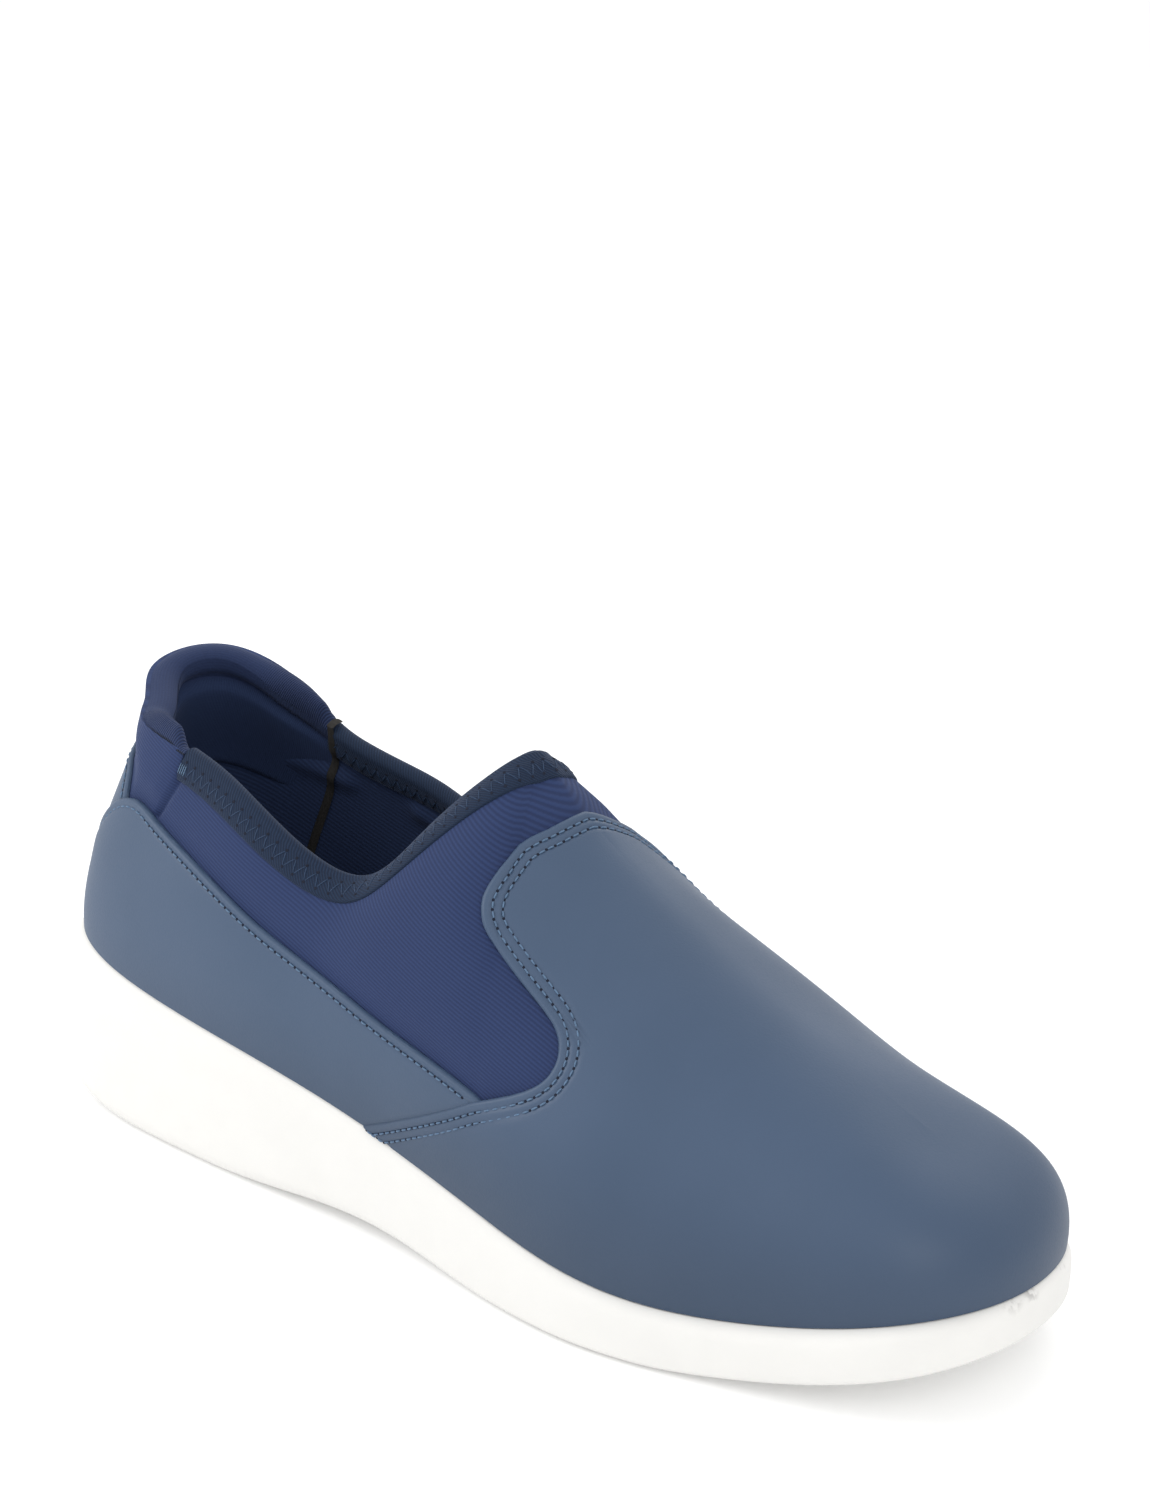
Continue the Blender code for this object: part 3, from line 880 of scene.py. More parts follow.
def sole_side(u, steps):
    edge = plan(u)
    normal = plan_normal(u)
    rim = rim_height(u)
    low = floor_height(edge[:, 0])
    at = np.arange(len(SIDE))
    rows = []
    for q in np.linspace(0, len(SIDE) - 1, steps):
        out = min(float(row_curve(at, column(SIDE, 0), q)), 1.0)
        up = max(float(row_curve(at, column(SIDE, 1), q)), 0.0)
        turn = max(float(np.interp(q, at, column(SIDE, 2))), 0.0)
        round_off = 1 - math.sqrt(max(0.0, 1 - turn ** 2)) if turn > 0 else 0.0
        inset = rim_step(u) * (1 - out) + EDGE_ROUND * round_off
        flat = edge - normal * inset[:, None]
        ground = low + (floor_height(flat[:, 0]) - low) * ease(1 - up, 0.7, 1.0)
        rows.append(np.column_stack([flat, ground + (rim - ground) * up]))
    return rows


def draw_sole():
    u = even_round(SOLE_LINES)
    side = sole_side(u, SOLE_ROWS)
    under = fan(side[-1], MIDDLE_PULL, np.linspace(1, 0, SOLE_ROWS)[:-1],
                lambda flat, s: floor_height(flat[:, 0]) + groove(flat[:, 0], s))
    cup = plan(u) - plan_normal(u) * rim_step(u)[:, None]
    bed = fan(np.column_stack([cup, np.zeros(len(u))]), MIDDLE_PULL, (0.0, 0.3, 0.65, 1.0),
              lambda flat, s: footbed_height(flat[:, 0]))
    rows = under + side[::-1] + bed
    points, faces, _ = weld(np.vstack(rows), grid_faces(len(rows), len(u), True))
    return make("sole_unit", points + SHIFT, faces, [WHITE_FOAM], sharp=60)


sole = draw_sole()
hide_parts("sole")
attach(sole, "root")

# %% [markdown]
# The insole is a cut board with a cloth top. It lies in the cup and turns up a little at its
# edge. Only its rear half can be seen through the opening.

# %% Insole
INSOLE_THICK = 0.0035
INSOLE_LIP = 0.0015
INSOLE_PULL = 0.78


def draw_insole():
    u = even_round(240)
    inset = rim_step(u) + 3 * SEAM_GAP + UPPER_WALL
    edge = np.column_stack([plan(u) - plan_normal(u) * inset[:, None], np.zeros(len(u))])
    shares = np.concatenate([[0.0, 0.02, 0.05, 0.1], np.linspace(0.18, 1, 14)])
    base = fan(edge, INSOLE_PULL, shares[::-1],
               lambda flat, s: footbed_height(flat[:, 0]) + SEAM_GAP)
    over = fan(edge, INSOLE_PULL, shares, lambda flat, s: footbed_height(flat[:, 0]) + SEAM_GAP
               + INSOLE_THICK + INSOLE_LIP * (1 - s) ** 4)
    rows = base + over
    points, faces, _ = weld(np.vstack(rows), grid_faces(len(rows), len(u), True))
    fields = {"across": points[:, 0], "length": points[:, 1]}
    return make("insole_bed", points + SHIFT, faces, [INSOLE_KNIT], fields=fields)


insole = draw_insole()
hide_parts("insole")
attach(insole, "root")

# %% [markdown]
# The upper is one stretch bootie, open at the ankle and underneath. Its foam makes it swell
# a little between the leather edges, most of all in the heel collar above the back stay. A
# seam runs up each side where the collar meets the softer front part. The inside shows long
# soft folds where the lining is loose.

# %% Upper
HEEL_PUFF = 1.5 * MM
SIDE_PUFF = 0.7 * MM
EAR_SEAM = 0.098
SEAM_DEPTH = 1.1 * MM
SEAM_HALF = 0.8 * MM
SEAM_COLUMNS = np.array([-1.5, -0.8, -0.4, 0, 0.4, 0.8, 1.5]) * MM
RIB_SLOPE = 0.36


def leather_cover(u, v):
    """True where leather lies over the bootie."""
    m = from_heel(u)
    vamp = m > vamp_edge(v)
    quarter = v < np.where(m < QUARTER_END, quarter_top(np.minimum(m, QUARTER_END)), 0)
    stay = (m < STAY_END) & (v < stay_top(np.minimum(m, STAY_END)))
    return vamp | quarter | stay


def upper_puff(u, v, points):
    m = from_heel(u)
    gap = np.full(len(u), 1.0)
    for line in VAMP_LINES + QUARTER_LINES + [STAY_LINE]:
        gap = np.minimum(gap, distance_to(points, line))
    covered = leather_cover(u, v)
    free = np.where(covered, 0.0, ease(gap, 0.2 * MM, 7 * MM))
    heel = 1 - ease(m, EAR_SEAM - 0.008, EAR_SEAM)
    puff = SIDE_PUFF + (HEEL_PUFF - SIDE_PUFF) * heel
    seam = np.exp(-((m - EAR_SEAM) * 2.0 * LENGTH / SEAM_HALF) ** 2)
    return puff * free - SEAM_DEPTH * seam * ~covered * ease(v, 0.60, 0.72)


FOLDS = (
    (0.865, 0.78, 0.800, 0.60, 1.6, 3.0),
    (0.800, 0.62, 0.760, 0.40, 1.2, 3.5),
    (0.930, 0.62, 0.895, 0.74, 1.2, 2.5),
    (0.150, 0.70, 0.230, 0.45, 1.2, 3.5),
)


def fold_lift(points):
    """Soft ridges of the lining: start and end shares, height and half width in mm."""
    lift = np.zeros(len(points))
    for u0, v0, u1, v1, high, wide in FOLDS:
        line = wall(np.linspace(u0, u1, 30), np.linspace(v0, v1, 30))
        gap = distance_to(points, line)
        lift += high * MM * np.exp(-(gap / (wide * MM)) ** 2)
    return lift


def draw_upper():
    u = even_round(440, 0.014)
    for stop in (THROAT, 1 - THROAT):
        u[np.argmin(np.abs(u - stop))] = stop
    near_seam = EAR_SEAM + SEAM_COLUMNS / (2 * LENGTH)
    u = np.sort(np.concatenate([u, near_seam, 1 - near_seam]))
    levels = np.concatenate([np.linspace(0, 0.94, 74), np.linspace(0.95, 1, 8)])
    foot = wall(u, np.zeros(len(u)))
    skirt = footbed_height(foot[:, 0]) + 2 * SEAM_GAP
    rows = []
    for s in (0.0, 0.5, 0.9):
        rows.append(np.column_stack([foot[:, :2], skirt + (foot[:, 2] - skirt) * s]))
    grid_v = np.concatenate([np.zeros(3), levels])
    for v in levels:
        rows.append(wall(u, np.full(len(u), v)))
    points = np.vstack(rows)
    uu = np.tile(u, len(grid_v))
    vv = np.repeat(grid_v, len(u))
    puff = upper_puff(uu, vv, points)
    puff[:3 * len(u)] = 0
    inner = -UPPER_WALL - fold_lift(points)
    fields = {"across": points[:, 2] + RIB_SLOPE * points[:, 0],
              "length": points[:, 0] * 0.94 - 0.34 * points[:, 2]}
    return shell("upper_bootie", points, grid_faces(len(rows), len(u), True), puff, inner,
                 [NAVY_KNIT, NAVY_LINING], 1, fields)


upper = draw_upper()
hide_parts("upper")
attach(upper, "root")

# %% [markdown]
# Leather panels are cut with a small round at the edge and pulled down by their stitches.
# Both are functions of the distance to the edge, in millimetres: a quarter circle over the
# first part of a millimetre, then a shallow trough under each row of stitches.

# %% Leather thickness near an edge
EDGE_ROLL = 0.9 * MM
MARKS = np.array([0, 0.08, 0.2, 0.38, 0.6, 0.9, 1.2, 1.5, 1.8, 2.1, 2.4, 2.7, 3.0, 3.3, 3.6, 3.9,
                  4.2, 4.5, 4.8, 5.1, 5.5, 6.0, 6.6, 7.3, 8.1]) * MM


def panel_lift(gap, rows, thick, trough):
    """Lift of a leather face at a distance from its edge, with its stitch rows."""
    near = np.clip(gap / EDGE_ROLL, 0, 1)
    lift = thick * (0.12 + 0.88 * np.sqrt(1 - (1 - near) ** 2))
    for row in rows:
        lift = lift - trough * np.exp(-((gap - row) / (0.55 * MM)) ** 2)
    return lift


def spread(line_u, line_v, count, ends=1):
    """Shares along a line of the wall, close together near its start, or near both ends."""
    run = run_length(wall(line_u, line_v))
    total = run[-1]
    marks = MARKS if total > 2.2 * ends * MARKS[-1] else MARKS * total / (2.2 * ends * MARKS[-1])
    if ends == 2:
        inner = np.linspace(marks[-1], total - marks[-1], count - 2 * len(marks) + 2)[1:-1]
        at = np.concatenate([marks, inner, total - marks[::-1]])
    else:
        inner = np.linspace(marks[-1], total, count - len(marks) + 1)[1:]
        at = np.concatenate([marks, inner])
    return np.interp(at, run, line_u), np.interp(at, run, line_v)


def panel_columns(stations, top, low, count):
    """Grid of shares, one column for each station, close together near the upper edge."""
    us, vs = [], []
    for u in stations:
        line = np.linspace(float(top(abs(u))), low(abs(u)), 200)
        us.append(np.full(count, u))
        vs.append(spread(np.full(200, u), line, count)[1])
    return np.array(us).T[::-1], np.array(vs).T[::-1]


# %% [markdown]
# The vamp is one piece of leather over the toe and up to the instep. Rows run from edge to
# edge over the ridge. Its edge lies over the side panels, so it starts a little higher there.

# %% Vamp
VAMP_ROWS = (2.3 * MM, 4.5 * MM)
STITCH_TROUGH = 0.30 * MM
OVERLAP_RISE = 0.55 * MM
RIM_LEVEL = 0.004


def vamp_base(u, v):
    """Extra lift where the vamp lies over a side panel."""
    m = from_heel(u)
    panel = quarter_top(np.minimum(m, QUARTER_END))
    low = 1 - ease(v, panel - 0.01, panel + 0.10)
    near = 1 - ease(m - vamp_edge(v), 0.012, 0.05)
    return OVERLAP_RISE * low * near


def vamp_top(u, v, gap):
    return OVERLAY_GAP + vamp_base(u, v) + panel_lift(gap, VAMP_ROWS, LEATHER, STITCH_TROUGH)


def draw_vamp():
    levels = np.concatenate([[RIM_LEVEL], np.linspace(0.02, 0.92, 84), np.linspace(0.925, 1, 26)])
    us, vs = [], []
    for v in levels:
        start = float(vamp_edge(v))
        line = np.linspace(start, 0.5, 300)
        half, _ = spread(line, np.full(300, v), 108)
        us.append(np.concatenate([half, 1 - half[-2::-1]]))
        vs.append(np.full(len(us[-1]), v))
    us, vs = np.array(us), np.array(vs)
    points = wall(us.ravel(), vs.ravel())
    gap = np.minimum(distance_to(points, VAMP_LINES[0]), distance_to(points, VAMP_LINES[1]))
    top = vamp_top(us.ravel(), vs.ravel(), gap)
    under = OVERLAY_GAP * 0.7 + vamp_base(us.ravel(), vs.ravel())
    return shell("vamp_leather", points, grid_faces(*us.shape), top, under, [NAVY_LEATHER])


vamp = draw_vamp()
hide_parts("vamp")
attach(vamp, "root")

# %% [markdown]
# Two side panels wrap the heel. They meet in a seam at the heel centre, rise to a rounded
# peak over the back stay, and run forward in a straight line under the vamp. The hidden part
# is pared thin, as a maker would do.

# %% Side panels
QUARTER_ROWS = (2.0 * MM,)
HEEL_SEAM = 0.0012


def quarter_lift(u, v, gap):
    m = from_heel(u)
    thin = ease(m - vamp_edge(v), -0.002, 0.008)
    lift = panel_lift(gap, QUARTER_ROWS, LEATHER, STITCH_TROUGH * 0.8)
    rear = 0.35 * MM * (1 - ease(m, 0.06, 0.11)) * ease(v, 0.25, 0.40)
    return OVERLAY_GAP + rear + lift * (1 - 0.62 * thin)


def draw_quarter(name, side):
    stations = HEEL_SEAM + (QUARTER_END - HEEL_SEAM) * np.linspace(0, 1, 250)
    us, vs = panel_columns(stations, quarter_top, lambda m: RIM_LEVEL, 52)
    flat_u, flat_v = us.ravel(), vs.ravel()
    points = wall(side * flat_u, flat_v)
    seam = wall(np.full(60, side * HEEL_SEAM), np.linspace(0, quarter_top(HEEL_SEAM), 60))
    line = QUARTER_LINES[0] if side > 0 else QUARTER_LINES[1]
    gap_top = distance_to(points, line)
    gap = np.minimum(gap_top, distance_to(points, seam))
    rows_gap = np.where(gap_top <= gap, gap_top, 10 * MM)
    near = np.clip(gap / EDGE_ROLL, 0, 1)
    top = quarter_lift(flat_u, flat_v, rows_gap)
    top = top - LEATHER * 0.88 * (1 - np.sqrt(1 - (1 - near) ** 2)) * (gap < gap_top)
    faces = grid_faces(*us.shape)
    if side < 0:
        faces = faces[:, ::-1]
    return shell(name, points, faces, top, OVERLAY_GAP * 0.6, [NAVY_LEATHER])


for name, node, side in (("quarter_outer_leather", "quarter_outer", 1),
                         ("quarter_inner_leather", "quarter_inner", -1)):
    quarter = draw_quarter(name, side)
    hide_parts(node)
    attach(quarter, "root")

# %% [markdown]
# The back stay is a tongue of leather behind the heel. It comes up from under the side panels
# and ends in a rounded top with its own row of stitches.

# %% Back stay
STAY_ROWS = (1.8 * MM,)
STAY_THICK = 0.9 * MM
STAY_LOW = 0.16
STAY_UNDER = 0.22


def stay_lift(gap):
    return OVERLAY_GAP + panel_lift(gap, STAY_ROWS, STAY_THICK, STITCH_TROUGH * 0.7)


def draw_stay():
    us, vs = panel_columns(np.linspace(-STAY_END, STAY_END, 130), stay_top,
                           lambda m: max(STAY_LOW, float(quarter_top(m)) - STAY_UNDER), 44)
    points = wall(us.ravel(), vs.ravel())
    top = stay_lift(distance_to(points, STAY_LINE))
    panel = quarter_top(np.abs(us.ravel()))
    pared = 1 - ease(vs.ravel(), panel - 0.06, panel - 0.01)
    top = top - pared * STAY_THICK * 0.75
    return shell("back_stay_leather", points, grid_faces(*us.shape), top, OVERLAY_GAP * 0.4,
                 [NAVY_LEATHER])


stay = draw_stay()
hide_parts("back_stay")
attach(stay, "root")

# %% [markdown]
# The opening has two kinds of edge. Behind the side seams the heel collar is a foam roll
# covered with a ribbed strip. In front of them an elastic binding is folded over the edge.
# Both are drawn as a profile swept along the opening. A profile point is so far down from
# the edge and so far out from the last.

# %% Sweep along the opening
BELOW_EDGE = 0.012


def opening(start, stop, pitch):
    """Points of the opening between two shares of its loop, with their frames."""
    u = np.linspace(start, stop, 900)
    line = resample(np.column_stack([wall(u, np.ones(900)), u]), pitch)
    share = line[:, 3]
    top = line[:, :3]
    fall = wall(share, np.full(len(share), 1 - BELOW_EDGE)) - top
    run = along(top)
    out = unit(np.cross(run, -fall))
    down = unit(np.cross(run, out))
    return share, top, out, down


def whole_opening(pitch):
    """The bound part of the opening, from ear to ear round the instep."""
    u = np.concatenate([np.linspace(PAD_END + 0.003, THROAT, 500),
                        np.linspace(1 - THROAT, 1 - PAD_END - 0.003, 500)[1:]])
    line = resample(wall(u, np.ones(len(u))), pitch)
    run = along(line)
    return line, run, np.cross(run, onto(line)[1])


def tube_faces(ring, n):
    """Faces between rows round a profile, the last row joined to the first."""
    last = np.arange(n - 1)
    close = np.column_stack([(ring - 1) * n + last, (ring - 1) * n + last + 1, last + 1, last])
    return np.vstack([grid_faces(ring, n), close])


def sweep(name, rows, finishes, fields, turned=False):
    """Closed piece from rows round a profile; a fan from its middle fills each end."""
    ring, n = len(rows), len(rows[0])
    points = np.vstack(rows) + SHIFT
    faces = tube_faces(ring, n)
    caps = [[r * n + end for r in range(ring)] for end in (0, n - 1)]
    if turned:
        faces = faces[:, ::-1]
        caps = [cap[::-1] for cap in caps]
    middles = np.array([points[cap].mean(0) for cap in caps])
    extra = []
    for k, cap in enumerate(caps):
        centre = len(points) + k
        for a, b in zip(cap, cap[1:] + cap[:1]):
            extra.append((b, a, centre, centre) if k else (a, b, centre, centre))
    fields = {key: np.concatenate([v, [v[cap[0]] for cap in caps]]) for key, v in fields.items()}
    return make(name, np.vstack([points, middles]), np.vstack([faces, extra]), finishes,
                fields=fields, sharp=70)


print("opening", round(run_length(whole_opening(1 * MM)[0])[-1], 3))

# %% [markdown]
# The binding is about six millimetres wide on both faces. It is a knitted band, a millimetre
# thick, with round edges. On the outside its lower edge bulges a little between stitches.

# %% Binding
BAND = 6.0 * MM
BAND_THICK = 1.0 * MM
BAND_LIFT = 0.25 * MM
BAND_INSIDE = UPPER_WALL + 0.1 * MM
BAND_STEP = 0.9 * MM


def band_profile():
    """Rows of the outer leaf: distance down, lift out of the last."""
    rows = []
    for t in np.linspace(0, 1, 7):
        a = math.pi * t
        rows.append((BAND + 0.5 * BAND_THICK * math.sin(a),
                     BAND_LIFT + BAND_THICK * (0.5 - 0.5 * math.cos(a))))
    for t in np.linspace(0, 1, 11)[1:]:
        down = BAND * (1 - t) + 0.9 * MM * t
        crown = 0.35 * MM * math.sin(math.pi * t) ** 0.7
        rows.append((down, BAND_LIFT + BAND_THICK + crown))
    return rows


def draw_binding():
    top, _, down = whole_opening(BAND_STEP)
    _, outs = onto(top)
    rows = []
    for gap, lift in band_profile():
        spots, out = onto(top + down * gap)
        rows.append(spots + out * lift)
    reach = (1 + UPPER_WALL / (2 * BAND_THICK)) * BAND_THICK + 0.35 * MM
    middle = -UPPER_WALL / 2
    for a in np.linspace(0.12, 0.88, 8) * math.pi:
        rows.append(top + outs * (middle + reach * math.cos(a))
                    - down * (reach * 0.85 * math.sin(a) - 0.3 * MM))
    for gap in np.linspace(0.9 * MM, BAND, 9):
        spots, out = onto(top + down * gap)
        crown = 0.3 * MM * math.sin(math.pi * (gap / BAND))
        rows.append(spots - out * (BAND_INSIDE + BAND_THICK + crown))
    for lift in (0.6, 0.2):
        spots, out = onto(top + down * (BAND + 0.35 * MM))
        rows.append(spots - out * (BAND_INSIDE + BAND_THICK * lift))
    rows.append(onto(top + down * BAND)[0] - out * (UPPER_WALL + 0.05 * MM))
    rows.append(top + down * 1.0 * MM - outs * (UPPER_WALL * 0.95))
    rows.append(top + down * 0.15 * MM - outs * UPPER_WALL * 0.5)
    rows.append(top + down * 1.0 * MM + outs * 0.05 * MM)
    n, ring = len(top), len(rows)
    length = np.tile(np.linspace(0, n * BAND_STEP, n), ring)
    level = np.repeat(np.linspace(0, ring * 0.8 * MM, ring), n)
    return sweep("topline_band", rows, [NAVY_BINDING],
                 {"across": length + 0.6 * level, "length": level})


band = draw_binding()
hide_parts("topline_binding")
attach(band, "root")

# %% [markdown]
# The heel collar is a pad of soft foam. It is thickest at the top and flattens down the
# inside of the heel. A ribbed strip covers its edge, and it ends in a rolled ear at each side
# seam. The roll gets thinner toward the ears.

# %% Collar pad
PAD_TOP = 6.2 * MM
PAD_LOW = 2.4 * MM
PAD_DEPTH = 0.48
EAR_RISE = 3.4 * MM
RIBS_FROM = 0.046
PAD_STEP = 0.8 * MM
STRIP_END = 0.20


def ear_rise(m):
    """Extra height of the roll just before it drops at the ear."""
    return EAR_RISE * ease(m, 0.045, 0.080) * (1 - ease(m, 0.086, PAD_END))


def pad_thickness(m):
    """Thickness of the roll: full round the heel, thin at the ears."""
    return PAD_LOW + (PAD_TOP - PAD_LOW) * (1 - ease(m, 0.060, PAD_END + 0.002))


def draw_pad():
    share, top, out, down = opening(-PAD_END - 0.0025, PAD_END + 0.0025, PAD_STEP)
    m = np.abs(share)
    full = pad_thickness(m)[:, None]
    rows, kinds = [], []
    outer = HEEL_PUFF * 0.9

    def inside(w, depth):
        """Row at a share w of the way down the inside, at a depth under the last."""
        v = np.full(len(share), 1 - (1 - PAD_DEPTH) * w)
        return wall(share, v) - wall_normal(share, v) * depth

    for a in np.linspace(0.0, 1.0, 15):
        angle = math.pi * a
        radius = (full + outer) / 2
        centre = top + out * (outer - radius)
        rows.append(centre + out * radius * math.cos(angle)
                    - down * (radius * 0.75 * math.sin(angle) - full * 0.30
                              + ear_rise(m)[:, None] * math.sin(angle)))
        kinds.append(1)
    for w in np.linspace(0, 1, 34)[1:]:
        swell = (1 - 0.55 * ease(w, 0.15, 1.0))
        thick = full * swell * (1 - 0.35 * math.exp(-((w - STRIP_END) / 0.05) ** 2))
        edge = math.sqrt(max(0.0, 1 - ease(w, 0.93, 1.0) ** 2))
        rows.append(inside(w, UPPER_WALL * 0.5 + (thick - UPPER_WALL * 0.5) * edge))
        kinds.append(1 if w < STRIP_END else 0)
    for w in np.linspace(1, 0, 8):
        rows.append(inside(w, UPPER_WALL * 0.5))
        kinds.append(0)
    n, ring = len(top), len(rows)
    length = np.tile(np.linspace(0, n * PAD_STEP, n), ring)
    level = np.repeat(np.arange(ring) * 0.9 * MM, n)
    ribs = np.tile(ease(m, RIBS_FROM, RIBS_FROM + 0.022), ring)
    piece = sweep("collar_pad_lining", rows, [NAVY_LINING, RIBBED_STRIP],
                  {"across": length, "length": level, "ribs": ribs}, True)
    slots = np.zeros(len(piece.data.polygons), np.int32)
    strip = np.repeat(np.array(kinds[:-1]), n - 1)
    slots[:len(strip)] = strip
    piece.data.polygons.foreach_set("material_index", slots)
    return piece


pad = draw_pad()
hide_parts("collar_pad")
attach(pad, "root")

# %% [markdown]
# Stitches are real threads here. A row is a line at a set distance from an edge, cut into
# even stitches. Each stitch is a short bent rod that dives into a hole at both ends. Each hole
# is a flat dimple painted dark, a painted shade of the recess.

# %% Rods and dimples
THREAD_THICK = 0.42 * MM
HOLE_SIZE = 0.46 * MM
STITCH = 2.2 * MM
THREAD_BOW = 0.22 * MM


def rods(paths, radius):
    """Six-sided rods along short paths, tapered to closed ends."""
    sides = 6
    points, faces = [], []
    base = 0
    for path, outs in paths:
        n = len(path)
        run = along(path)
        across = unit(np.cross(run, outs))
        lift = np.cross(across, run)
        taper = np.sqrt(np.clip(1 - np.abs(np.linspace(-1, 1, n)) ** 4, 0.15, 1))
        for k in range(sides):
            a = 2 * math.pi * k / sides
            points.append(path + (across * math.cos(a) + lift * math.sin(a)) * radius
                          * taper[:, None])
        faces.append(tube_faces(sides, n) + base)
        for end, flip in ((0, 1), (n - 1, -1)):
            ring = [base + k * n + end for k in range(sides)][::flip]
            faces.append(np.array([[ring[0], ring[1], ring[2], ring[3]],
                                   [ring[0], ring[3], ring[4], ring[5]]]))
        base += sides * n
    return np.vstack(points), np.vstack(faces)


def dimples(spots, outs, size):
    """Flat round domes, eight-sided, with a point above and one below the middle."""
    sides = 8
    points, faces = [], []
    for i, (spot, out) in enumerate(zip(spots, outs)):
        side = np.cross(out, (0.3, 0.5, 0.8))
        side /= np.linalg.norm(side)
        other = np.cross(out, side)
        base = i * (2 * sides + 2)
        above, below = base + 2 * sides, base + 2 * sides + 1
        for ring, lift in ((1.0, -0.3), (0.75, 0.10)):
            for k in range(sides):
                a = 2 * math.pi * k / sides
                points.append(spot + (side * math.cos(a) + other * math.sin(a)) * size * ring
                              + out * lift * size)
        points.append(spot + out * size * 0.14)
        points.append(spot - out * size * 0.4)
        for k in range(sides):
            a, b = base + k, base + (k + 1) % sides
            faces.append((a, b, b + sides, a + sides))
            faces.append((a + sides, b + sides, above, above))
            faces.append((b, a, below, below))
    return np.array(points), np.array(faces)


def trim(name, shape, finish):
    """Small piece that stands for no solid of its own."""
    points, faces = shape
    piece = make(name, points + SHIFT, faces, [finish])
    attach(piece, "root")


def stitch_row(line, lift, pitch=STITCH):
    """Threads and hole places of one row on the last, at a lift for each point of its line."""
    at = resample(np.column_stack([line, np.broadcast_to(lift, len(line))]), pitch)
    share = np.linspace(0.16, 0.84, 7)
    arch = np.sin(np.pi * np.linspace(0, 1, 7)) ** 0.6
    paths = []
    for a, b in zip(at[:-1], at[1:]):
        run = a * (1 - share[:, None]) + b * share[:, None]
        spots, outs = onto(run[:, :3])
        paths.append((spots + outs * (run[:, 3] + THREAD_BOW * arch)[:, None], outs))
    holes, outs = onto(at[:, :3])
    return paths, holes + outs * at[:, 3:], outs


print("stitches are", round(STITCH * 1000, 1), "mm long")

# %% [markdown]
# The vamp has two rows, the side panels and the stay have one. The rows start and stop where
# another panel covers them.

# %% Leather stitches
SHOW = 0.05 * MM


def leather_rows():
    paths, spots, outs = [], [], []
    trough = STITCH_TROUGH
    jobs = []
    for side, line in ((1, VAMP_LINES[0]), (-1, VAMP_LINES[1])):
        base = vamp_base(side * (vamp_edge(FINE) + 0.01), FINE)
        edge = resample(np.column_stack([line, base])[4:-2], 0.8 * MM)
        for row in VAMP_ROWS:
            path = beside(edge[:, :3], row, -side)
            jobs.append((path, OVERLAY_GAP + LEATHER - trough + edge[:, 3] + SHOW))
    for side, line in ((1, QUARTER_LINES[0]), (-1, QUARTER_LINES[1])):
        edge = resample(line, 0.8 * MM)
        path = beside(edge[3:], QUARTER_ROWS[0], -side)
        share_free = distance_to(path, VAMP_LINES[0 if side > 0 else 1]) > 1.4 * MM
        stop = int(np.argmin(share_free)) if not share_free.all() else len(path)
        jobs.append((path[:stop], OVERLAY_GAP + LEATHER - trough * 0.8 + SHOW))
    path = beside(resample(STAY_LINE, 0.8 * MM)[2:-2], STAY_ROWS[0], -1)
    jobs.append((path, OVERLAY_GAP + STAY_THICK - trough * 0.7 + SHOW))
    for path, lift in jobs:
        more, holes, out = stitch_row(path, lift)
        paths += more
        spots.append(holes)
        outs.append(out)
    return paths, np.vstack(spots), np.vstack(outs)


paths, hole_spots, hole_outs = leather_rows()
trim("leather_threads", rods(paths, THREAD_THICK / 2), THREAD)
# Painted shade: dark discs at the leather stitch holes
trim("stitch_hole_shade_discs", dimples(hole_spots, hole_outs, HOLE_SIZE), HOLE_SHADE)
print("leather stitches", len(paths))

# %% [markdown]
# The binding is held by a zigzag near its lower edge, on the outside and the inside. It is
# made of thin threads between two lines of holes.

# %% Zigzag of the binding
ZIGZAG = (1.0 * MM, 4.3 * MM)
ZIG_THICK = 0.26 * MM
TACKS = 4
TACK_LONG = 2.4 * MM
TACK_STEP = 0.62 * MM
ZIG_PITCH = 3.0 * MM
ZIG_HOLE = 0.42 * MM


def zigzag_rows():
    paths, spots, outs = [], [], []
    top, run, down = whole_opening(ZIG_PITCH / 2)
    gaps = [BAND - ZIGZAG[i % 2] for i in range(len(top))]
    for leaf in (1, -1):
        lift = (BAND_LIFT + BAND_THICK + 0.26 * MM if leaf > 0
                else -(BAND_INSIDE + BAND_THICK + 0.25 * MM))
        ends, out = onto(top + down * np.array(gaps)[:, None])
        for i in range(1, len(ends) - 2):
            share = np.linspace(0.1, 0.9, 6)[:, None]
            line, o = onto(ends[i] * (1 - share) + ends[i + 1] * share)
            bow = ZIG_THICK * 0.6 * np.sin(np.pi * np.linspace(0, 1, 6)) * leaf
            paths.append((line + o * (lift + bow)[:, None], o))
        spots.append(ends[1:-1] + out[1:-1] * lift)
        outs.append(out[1:-1] * leaf)
    tacks = []
    for end in (1, -2):
        for k in range(TACKS):
            at = top[end] + run[end] * (k - TACKS / 2) * TACK_STEP + down[end] * 2.4 * MM
            line, o = onto(at + down[end] * np.linspace(0, TACK_LONG, 6)[:, None])
            tacks.append((line + o * (BAND_LIFT + BAND_THICK + 0.50 * MM), o))
    return paths, np.vstack(spots), np.vstack(outs), tacks


paths, hole_spots, hole_outs, tacks = zigzag_rows()
trim("binding_zigzag", rods(paths, ZIG_THICK / 2), BINDING_THREAD)
# Painted shade: dark discs at the zigzag stitch holes
trim("zigzag_hole_shade_discs", dimples(hole_spots, hole_outs, ZIG_HOLE), HOLE_SHADE)
trim("bar_tacks", rods(tacks, ZIG_THICK / 2), THREAD)
print("zigzag stitches", len(paths))

# %% [markdown]
# A narrow tape covers the side seam on the inside and runs from the insole up to the ear.
# The far one, which the photograph shows, turns over the edge by two millimetres.

